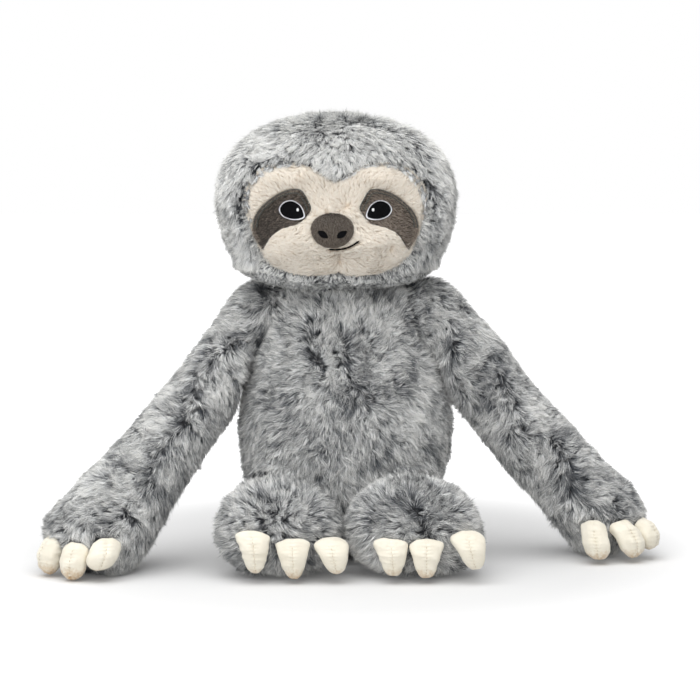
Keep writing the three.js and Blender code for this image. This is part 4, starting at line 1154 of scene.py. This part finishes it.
def make_panel():
    cloth = draped(
        "face_cloth", face_line, face_middle, RINGS["face"], face_front,
        lambda x, z, share: face_front(x, z, share) + PANEL_THICKNESS, FACE_CLOTH,
    )
    dress(cloth, "head", "face_plush", "face_panel", fill=FILLS["face"])
    return cloth


def short_pile(kind, name, carrier, comb, material, keep_out, light=SHORT_TONE):
    """Short plush on the front of a face piece. light is its tone, or gives the tone at each place."""
    pile = SHORT_PILES[kind]
    seed, length, height = pile["seed"], pile["length"], pile["height"]
    rng = np.random.default_rng(seed)
    root, normal = scatter(carrier.data, pile["per_area"] * grown_share(), rng)
    keep = normal[:, 1] < FRONT_SIDE
    for line in keep_out:
        keep &= ~in_outline(line, root[:, 0], root[:, 2])
    root, normal = root[keep], normal[keep]
    ruffled = comb(root)
    for shift, (spread, strength) in enumerate((SHORT_WHORL, SHORT_RUFFLE)):
        ruffled = ruffled + strength * waves(seed + shift, spread)(root)
    looks = dict(tuft=pile["tuft"], pull=SHORT_PULL, width=pile["width"], turns=SHORT_TURNS)
    middle, tip, side, groups = grow(root, normal, ruffled, length, height, rng, **looks)
    for line in keep_out:
        over = in_outline(line, tip[:, 0], tip[:, 2])
        for part in (middle, tip):
            part[over] = root[over] + SHORN_SHARE * (part[over] - root[over])
    tone = light(root) if callable(light) else light
    tone = tone + SHORT_TONE_TUFT * rng.normal(size=groups.max() + 1)[groups]
    tone = tone + SHORT_TONE_STRAND * rng.normal(size=len(root))
    strand_pieces(name, (root, middle, tip, side, np.clip(tone, *TONE_ENDS)), material, "head")


def crossings(line, u, turned):
    """Lowest and highest place where an outline, turned by an angle, meets a line at u."""
    a = line @ turned_by(turned)
    b = np.roll(a, -1, axis=0)
    hit = (a[:, 0] - u) * (b[:, 0] - u) < 0
    v = a[hit, 1] + (u - a[hit, 0]) / (b[hit, 0] - a[hit, 0]) * (b[hit, 1] - a[hit, 1])
    return v.min(), v.max()


def satin(name, line, depth, material, turned=0.0, steps=SATIN_STEPS):
    """Parallel threads that fill an outline. depth gives y at x and z."""
    back = turned_by(-turned)
    reach = (line @ back.T)[:, 0]
    before, after = (SATIN_SPACING * margin for margin in SATIN_MARGINS)
    paths = []
    for u in np.arange(reach.min() + before, reach.max() - after, SATIN_SPACING):
        low, high = crossings(line, u, turned)
        v = (low + high) / 2 - (high - low) / 2 * np.cos(np.linspace(0, math.pi, steps))
        paths.append(lifted(np.stack([np.full(steps, u), v], 1) @ back, depth))
    return threads(name, paths, SATIN_THREAD, material)


def make_eye(tag, sign):
    patch_line, patch_middle = outline_of(f"eye_patch_{tag}", PATCH_SHARES, POINTS["patch"], sign=sign)
    patch_line = scaled(patch_line, patch_middle, (PATCH_WIDTH_SHARE, 1))
    eye_line, eye_middle = outline_of(f"eye_{tag}", EYE_SHARES, POINTS["eye"], sign=sign)
    rim_line, _ = outline_of(f"eye_rim_{tag}", EYE_SHARES, POINTS["eye"], sign=sign)
    eye_line = scaled(eye_line, eye_middle, EYE_SIZE_SHARES)
    rim_line = scaled(rim_line, eye_middle, EYE_SIZE_SHARES)
    eye_line = eye_line + (rim_line - eye_line) * EYE_FULL
    half = np.ptp(eye_line, axis=0) / 2

    def patch_top(x, z, share=0.0):
        return face_front(x, z) - PILE_GAP - PATCH_WALL * (1 - np.asarray(share) ** PATCH_ROUND) ** 0.5

    patch = draped(
        f"eye_patch_cloth_{tag}", patch_line, patch_middle, RINGS["patch"], patch_top, panel_side,
        PATCH_CLOTH,
    )
    dress(patch, "head", "eye_patch_plush", f"eye_patch_{tag}")
    away = np.array(PATCH_COMB) * (sign, 1, 1)
    inner_row = scaled(patch_line, patch_middle, min(PATCH_STITCH_ROWS))

    def patch_tone(p):
        """Lighter toward the top, and between the rows of stitches. The right patch is lighter partly for its
        nap and partly as painted light.
        """
        across, up = sign * (p[:, 0] - patch_middle[0]), p[:, 2] - patch_middle[1]
        border = ~in_outline(inner_row, p[:, 0], p[:, 2]) & (across + up > 0)
        height = smooth_step(0.5 + (up - across) / np.ptp(patch_line[:, 1]))
        return np.interp(height, (0, 1), PATCH_NAP_AND_PAINTED_LIGHT_TONES[tag]) + PATCH_BORDER_TONE * border

    short_pile(
        "patch", f"eye_patch_pile_{tag}", patch, lambda p: np.broadcast_to(away, p.shape), PATCH_PILE,
        [scaled(rim_line, eye_middle, EDGE_SHARE)], patch_tone,
    )

    def eye_top(x, z, share=None):
        if share is None:
            share = share_of(x, z, eye_middle, half)
        return patch_top(x, z) - dome(share, EYE_EDGE, EYE_RISE)

    pad = draped(
        f"eye_pad_{tag}", eye_line, eye_middle, RINGS["eye"], eye_top, lambda x, z, share: patch_top(x, z),
        BLACK_THREAD,
    )
    dress(pad, "head", "dark_embroidery", f"eye_{tag}")
    fill = satin(f"eye_satin_{tag}", eye_line, eye_top, BLACK_THREAD, turned=sign * SATIN_TURN)
    dress(fill, "head", "dark_embroidery")

    ways = rim_line - eye_middle
    steps = np.linspace(0, 1, RIM_STEPS)[None, :, None]
    inner = scaled(eye_line, eye_middle, EDGE_SHARE)
    flat = inner[:, None] * (1 - steps) + (eye_middle + ways)[:, None] * steps
    rise = EYE_EDGE + RIM_LIFT + RIM_ARCH * np.sin(steps[..., 0] * math.pi)
    rim = threads(f"eye_rim_satin_{tag}", lifted(flat, patch_top, rise), RIM_THREAD, PALE_THREAD)
    dress(rim, "head", "grey_embroidery", f"eye_rim_{tag}")

    glint_line, glint_middle = outline_of(f"eye_glint_{tag}", DISC_SHARES, POINTS["glint"])
    glint_line = scaled(glint_line, glint_middle, GLINT_SHARE)
    glint = satin(
        f"eye_glint_satin_{tag}", glint_line, lambda x, z: eye_top(x, z) - SATIN_THREAD, WHITE_THREAD
    )
    dress(glint, "head", "white_embroidery", f"eye_glint_{tag}")
    outline_stitches(tag, patch_line, patch_middle)
    return patch_line


def outline_stitches(tag, line, middle):
    """Two rows of stitches along the patch's upper edge."""
    count = len(line)
    paths = []
    for share, lift in PATCH_STITCH_ROWS.items():
        edge = scaled(line, middle, share)
        stops = np.linspace(*PATCH_STITCHED, PATCH_STITCHES) * count
        for start, end in zip(stops[:-1], stops[1:]):
            t = np.linspace(start, start + (end - start) * STITCH_SHARE, STITCH_STEPS)
            low = np.floor(t).astype(int)
            part = (t - low)[:, None]
            flat = edge[low % count] * (1 - part) + edge[(low + 1) % count] * part
            paths.append(lifted(flat, face_front, lift, STITCH_ARCH * arch(STITCH_STEPS)))
    piece = threads(f"eye_patch_stitches_{tag}", paths, PATCH_STITCH, BROWN_THREAD)
    dress(piece, "head", "dark_embroidery")


def make_nose():
    line, middle = outline_of("nose", NOSE_SHARES, POINTS["nose"], mirrored=True)
    half = np.ptp(line, axis=0) / 2

    def top(x, z, share=None):
        if share is None:
            share = share_of(x, z, middle, half)
        edge = face_front(x, z) - PILE_GAP - NOSE_EDGE * (1 - share ** NOSE_ROUND) ** 0.5
        return edge - dome(share, 0, NOSE_RISE - NOSE_EDGE)

    pad = draped("nose_pad", line, middle, RINGS["nose"], top, panel_side, NOSE_CLOTH)
    dress(pad, "head", "nose_velvet", "nose", fill=FILLS["nose"])
    slots = []
    for tag, tilt in (("l", NOSTRIL_TILT), ("r", -NOSTRIL_TILT)):
        _, slot_middle = outline_of(f"nostril_{tag}", DISC_SHARES, POINTS["nostril"])
        flat = np.array(NOSTRIL_HALF) * closed_curve(DISC_SHARES, POINTS["nostril"])
        slot_line = slot_middle + flat @ turned_by(tilt)
        slots.append(scaled(slot_line, slot_middle, NOSTRIL_CLEAR))
        piece = satin(
            f"nostril_satin_{tag}", slot_line, lambda x, z: top(x, z) - NOSTRIL_LIFT, BLACK_THREAD,
            turned=-tilt, steps=NOSTRIL_STEPS,
        )
        dress(piece, "head", "dark_embroidery", f"nostril_{tag}")
    short_pile(
        "nose", "nose_pile", pad, lambda p: np.broadcast_to(np.array(NOSE_COMB), p.shape), NOSE_PILE,
        slots,
    )
    return line


def along_mouth(count):
    return np.linspace(face_middle[0] + MOUTH_LINE[2][0], face_middle[0] + MOUTH_LINE[-1][0], count)


def on_mouth(x):
    """X and Z of the mouth's line."""
    return np.stack([x, face_middle[1] + np.polyval(mouth_curve, x - face_middle[0])], 1)


def make_mouth():
    stops = along_mouth(MOUTH_STITCHES + 1)
    paths = []
    for a, b in zip(stops[:-1], stops[1:]):
        flat = on_mouth(np.linspace(a, b + MOUTH_OVERLAP, MOUTH_STEPS))
        paths.append(lifted(flat, face_front, MOUTH_LIFT, MOUTH_ARCH * arch(MOUTH_STEPS)))
    piece = threads("mouth_backstitch", paths, MOUTH_THREAD, BLACK_THREAD, MOUTH_SIDES)
    dress(piece, "head", "dark_embroidery", "mouth_stitch")


def mouth_bed():
    """A narrow outline round the mouth's thread."""
    flat = on_mouth(along_mouth(MOUTH_BED_POINTS))
    return np.concatenate([flat - (0, MOUTH_CLEAR / 2), (flat + (0, MOUTH_CLEAR))[::-1]])


def make_face():
    cloth = make_panel()
    patch_lines = [make_eye(tag, sign) for tag, sign in (("l", -1), ("r", 1))]
    nose_line = make_nose()
    make_mouth()
    nose_place = np.array([nose_line[:, 0].mean(), FACE_COMB_DEPTH, nose_line[:, 1].mean()])
    edges = [scaled(line, line.mean(axis=0), EDGE_SHARE) for line in (*patch_lines, nose_line)]
    edges.append(mouth_bed())
    short_pile("face", "face_pile", cloth, lambda p: unit(p - nose_place), FACE_PILE, edges)


make_face()


# Furred body, head and limbs

def padded_backing(body):
    """The fabric under the fur: the solids' own shape, drawn in by the height of the pile."""
    kind, *tag = body.replace("torso", "body").split("_")
    nodes = ["_".join([kind, layer, *tag]) for layer in ("cover", "stuffing")]
    backing = remeshed(f"{body}_backing", nodes, BACKING_VOXEL, BACKING_ROUNDS, BACKING)
    points = points_of(backing.data)
    out = -PILE_HEIGHT * furred_share(body, points)
    for place, reach, height in PLUMP[body]:
        out += height * np.exp(-np.sum((points - np.array(place)) ** 2, axis=1) / reach ** 2)
    set_points(backing.data, points + normals_of(backing.data) * out[:, None])
    dress(backing, body, "long_fur", *nodes, fill=BACKING_FILL)
    return backing


def make_claw(node, body, carrier_middle, seed):
    """A stuffed pouch with a puckered seam down its front and folds where it bends."""
    kind = node.split("_")[0]
    claw = remeshed(f"{node}_cloth", [node], CLAW_VOXEL, CLAW_ROUNDS[kind], CLAW_CLOTH)
    low, high = (np.array(corner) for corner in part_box(node))
    middle = (low + high) / 2
    facing = -Y if kind == "foot" else unit((middle - carrier_middle) * LEVEL)
    across = np.cross(Z, facing)

    points, normals = points_of(claw.data), normals_of(claw.data)
    z, aside = points[:, 2], points @ across
    shelves = np.linspace(z.min(), z.max(), CLAW_SHELVES + 1)
    belts = [(z >= a) & (z <= b) for a, b in zip(shelves[:-1], shelves[1:])]
    middles = [(aside[belt].min() + aside[belt].max()) / 2 for belt in belts]
    line = np.polyfit((shelves[:-1] + shelves[1:]) / 2, middles, 2)
    off = aside - np.polyval(line, z)
    front = smooth_step(normals @ facing * CLAW_FACING)
    crease = -CLAW_CREASE * np.exp(-((off / CLAW_CREASE_WIDTH) ** 2))
    pucker = CLAW_PUCKER * np.sin(TURN * z / CLAW_STITCH) * np.exp(-((off / CLAW_PUCKER_WIDTH) ** 2))
    bends = waves(seed, CLAW_FOLD_LENGTH, parts=1)(points * CLAW_FOLD_STRETCH)[:, 0]
    folds = CLAW_FILLS.get(node, CLAW_FILL) - CLAW_FOLD * np.sqrt(bends ** 2 + CLAW_FOLD_SOFTNESS ** 2)
    flare = CLAW_FLARE[kind] * smooth_step((z - z.min()) / np.ptp(z) * 2 - 1)
    moved = points + normals * ((crease + pucker) * front + folds)[:, None] + across * (flare * off)[:, None]
    set_points(claw.data, moved)
    dress(claw, body, "claw_twill", node, fill=FILLS["claw"])

    tree = tree_of(claw)
    paths = []
    start = middle - across * (middle @ across)
    seam_top = low[2] + CLAW_SEAM_SHARE * (high[2] - low[2])
    for bottom in np.arange(low[2] + CLAW_STITCH, seam_top, CLAW_STITCH):
        spots = []
        slant = CLAW_SLANT * (-1) ** len(paths)
        for up in bottom + np.linspace(0, CLAW_STITCH_SHARE, CLAW_STITCH_STEPS) * CLAW_STITCH:
            beside = np.polyval(line, up) + slant * (up - bottom)
            eye = start * LEVEL + across * beside + facing * CLAW_REACH + Z * up
            place = tree.ray_cast(Vector(eye), Vector(-facing), 2 * CLAW_REACH)[0]
            if place is not None:
                spots.append(np.array(place) + facing * CLAW_SEAM_THREAD / 2)
        if len(spots) == CLAW_STITCH_STEPS:
            paths.append(spots)
    seam = threads(f"{node}_seam", paths, CLAW_SEAM_THREAD, CLAW_THREAD)
    dress(seam, body, "claw_twill")
    return tree, low, high


face_place = np.array([face_middle[0], 0, face_middle[1]])


def face_opening(p):
    line = scaled(face_line, face_middle, OPENING_SHARE)
    return (p[:, 1] < FACE_SIDE) & in_outline(line, p[:, 0], p[:, 2])


def comb_torso(p):
    front = smooth_step(0.5 - p[:, 1:2] / BELLY_SOFTNESS)
    away = (p - np.array(BELLY_WHORL)) * BELLY_AWAY
    lying = np.minimum(np.linalg.norm(away, axis=1, keepdims=True) / BELLY_WHORL_REACH, 1)
    round_about = unit(away) * lying - BELLY_FALL * Z
    return front * round_about + (1 - front) * (unit(p * LEVEL) * BACK_SPREAD - Z)


def arm_aside(p, across, seat):
    """How far a place lies beside the crooked parting down an arm's front."""
    return (p - seat) @ across + ARM_PARTING_SWAY * whorl(p)[:, 0]


def arm_comb(p, way, across, seat):
    """Along the arm and away from that parting."""
    aside = np.tanh(arm_aside(p, across, seat) / ARM_PARTING_SOFTNESS)
    return way * ARM_COMB[0] + across * aside[:, None] * ARM_COMB[1] - ARM_COMB[2] * Z


# Where the pile along an arm's front parting is darker: partly dark roots, partly painted shade
def arm_opening(p, across, seat):
    front = smooth_step(-(p[:, 1] - seat[1]) / ARM_OPENING)
    return np.maximum(opened(p), front * np.exp(-((arm_aside(p, across, seat) / ARM_OPENING) ** 2)))


def comb_head(p):
    """Down from the crown, and outward beside the face."""
    away = unit((p - face_place) * FACE_AWAY)
    ahead = smooth_step((CROWN[1] - p[:, 1:2]) / CROWN_REACH)
    aside, down, outward = HEAD_COMB
    out = aside * away * away[:, :1] ** 2 - down * Z
    out = out + outward * ahead * unit((p - np.array(CROWN)) * LEVEL)
    for share, (hold, inward) in HOOD_EDGE_COMBS.items():
        edge = scaled(face_line, face_middle, share)
        near = (p[:, 1] < EDGE_SIDE) & in_outline(edge, p[:, 0], p[:, 2]) & (away[:, 2] > 0)
        out[near] = out[near] * hold - away[near] * inward
    return out


def fringe(p):
    edge = scaled(face_line, face_middle, FRINGE_REACH)
    return (p[:, 1] < EDGE_SIDE) & (p[:, 2] > face_middle[1]) & in_outline(edge, p[:, 0], p[:, 2])


def over_face(middles, tips):
    """Lays strands from above over the face's edge, and leaves out those that reach too far."""
    for spot in (middles, tips):
        near = (spot[:, 1] < FACE_SIDE) & (spot[:, 2] > face_middle[1])
        near &= in_outline(face_line, spot[:, 0], spot[:, 2])
        front = face_front(spot[near, 0], spot[near, 2]) - FRINGE_OVER
        spot[near, 1] = np.minimum(spot[near, 1], front)
    clear = np.ones(len(tips), bool)
    for spot in (middles, tips):
        uneven = FRINGE_STOP + FRINGE_UNEVEN * fleck(tips)[:, 0]
        share = np.where(spot[:, 2] > face_middle[1], uneven, OPENING_SHARE)
        x, z = (face_middle + (spot[:, [0, 2]] - face_middle) / share[:, None]).T
        clear &= (spot[:, 1] > FACE_SIDE) | ~in_outline(face_line, x, z)
    return clear


def furred_limb(body, backing, torso):
    """A limb's claws and its pile, which keeps clear of them and of the torso."""
    limb, tag = body.split("_")
    points = points_of(backing.data)
    middle = (points.min(axis=0) + points.max(axis=0)) / 2
    seat = SEATS[body].place
    farthest = np.argsort(np.linalg.norm(points - seat, axis=1))[-END_POINTS:]
    end = points[farthest].mean(axis=0)
    heading = unit(end - seat)
    if limb == "arm":
        middle = end - heading * PAW_MIDDLE
        across = unit(np.cross(heading, Y))
        comb = lambda p: arm_comb(p, heading, across, seat)
        opening = lambda p: arm_opening(p, across, seat)
    else:
        start = middle + FOOT_WHORL
        comb = lambda p: (p - start) * FOOT_AWAY / FOOT_WHORL_REACH
        opening = opened
    claws = []
    for i in range(3):
        claw = make_claw(f"{CLAW_KINDS[limb]}_claw_{tag}{i + 1}", body, middle, CLAW_SEED + i)
        claws.append((*claw, CLAW_DEPTH))
    fur(body, body, backing, comb, around=[torso, *claws], opening=opening)


def make_furred():
    backings = {body: padded_backing(body) for body in ("torso", *SEATS)}
    solids = {}
    for body, backing in backings.items():
        points = points_of(backing.data)
        solids[body] = (tree_of(backing), points.min(axis=0), points.max(axis=0), CLOTH_DEPTH)

    fur("body", "torso", backings["torso"], comb_torso, around=[solids[b] for b in SEATS])
    hood = ("head", backings["head"], comb_head)
    fur("head", *hood, [face_opening, fringe], [solids["torso"]], over=over_face)
    fur(
        "fringe", *hood, [face_opening, lambda p: ~fringe(p)], over=over_face,
        size=FRINGE_SIZE, tint=FRINGE_TONE, tuft=FRINGE_TUFT, pull=FRINGE_PULL,
    )
    for body in SEATS:
        if body != "head":
            furred_limb(body, backings[body], solids["torso"])


def make_hidden():
    bag = remeshed("pellet_bag", ["seat_pellet_bag"], BAG_VOXEL, BAG_ROUNDS, BAG_CLOTH)
    dress(bag, "torso", "pellet_bag_cloth", "seat_pellet_bag", fill=FILLS["bag"])
    for name, node in frame["nodes"].items():
        if "_seam" in name:
            node.material_slots[0].material = SEAM_THREAD


make_furred()
make_hidden()
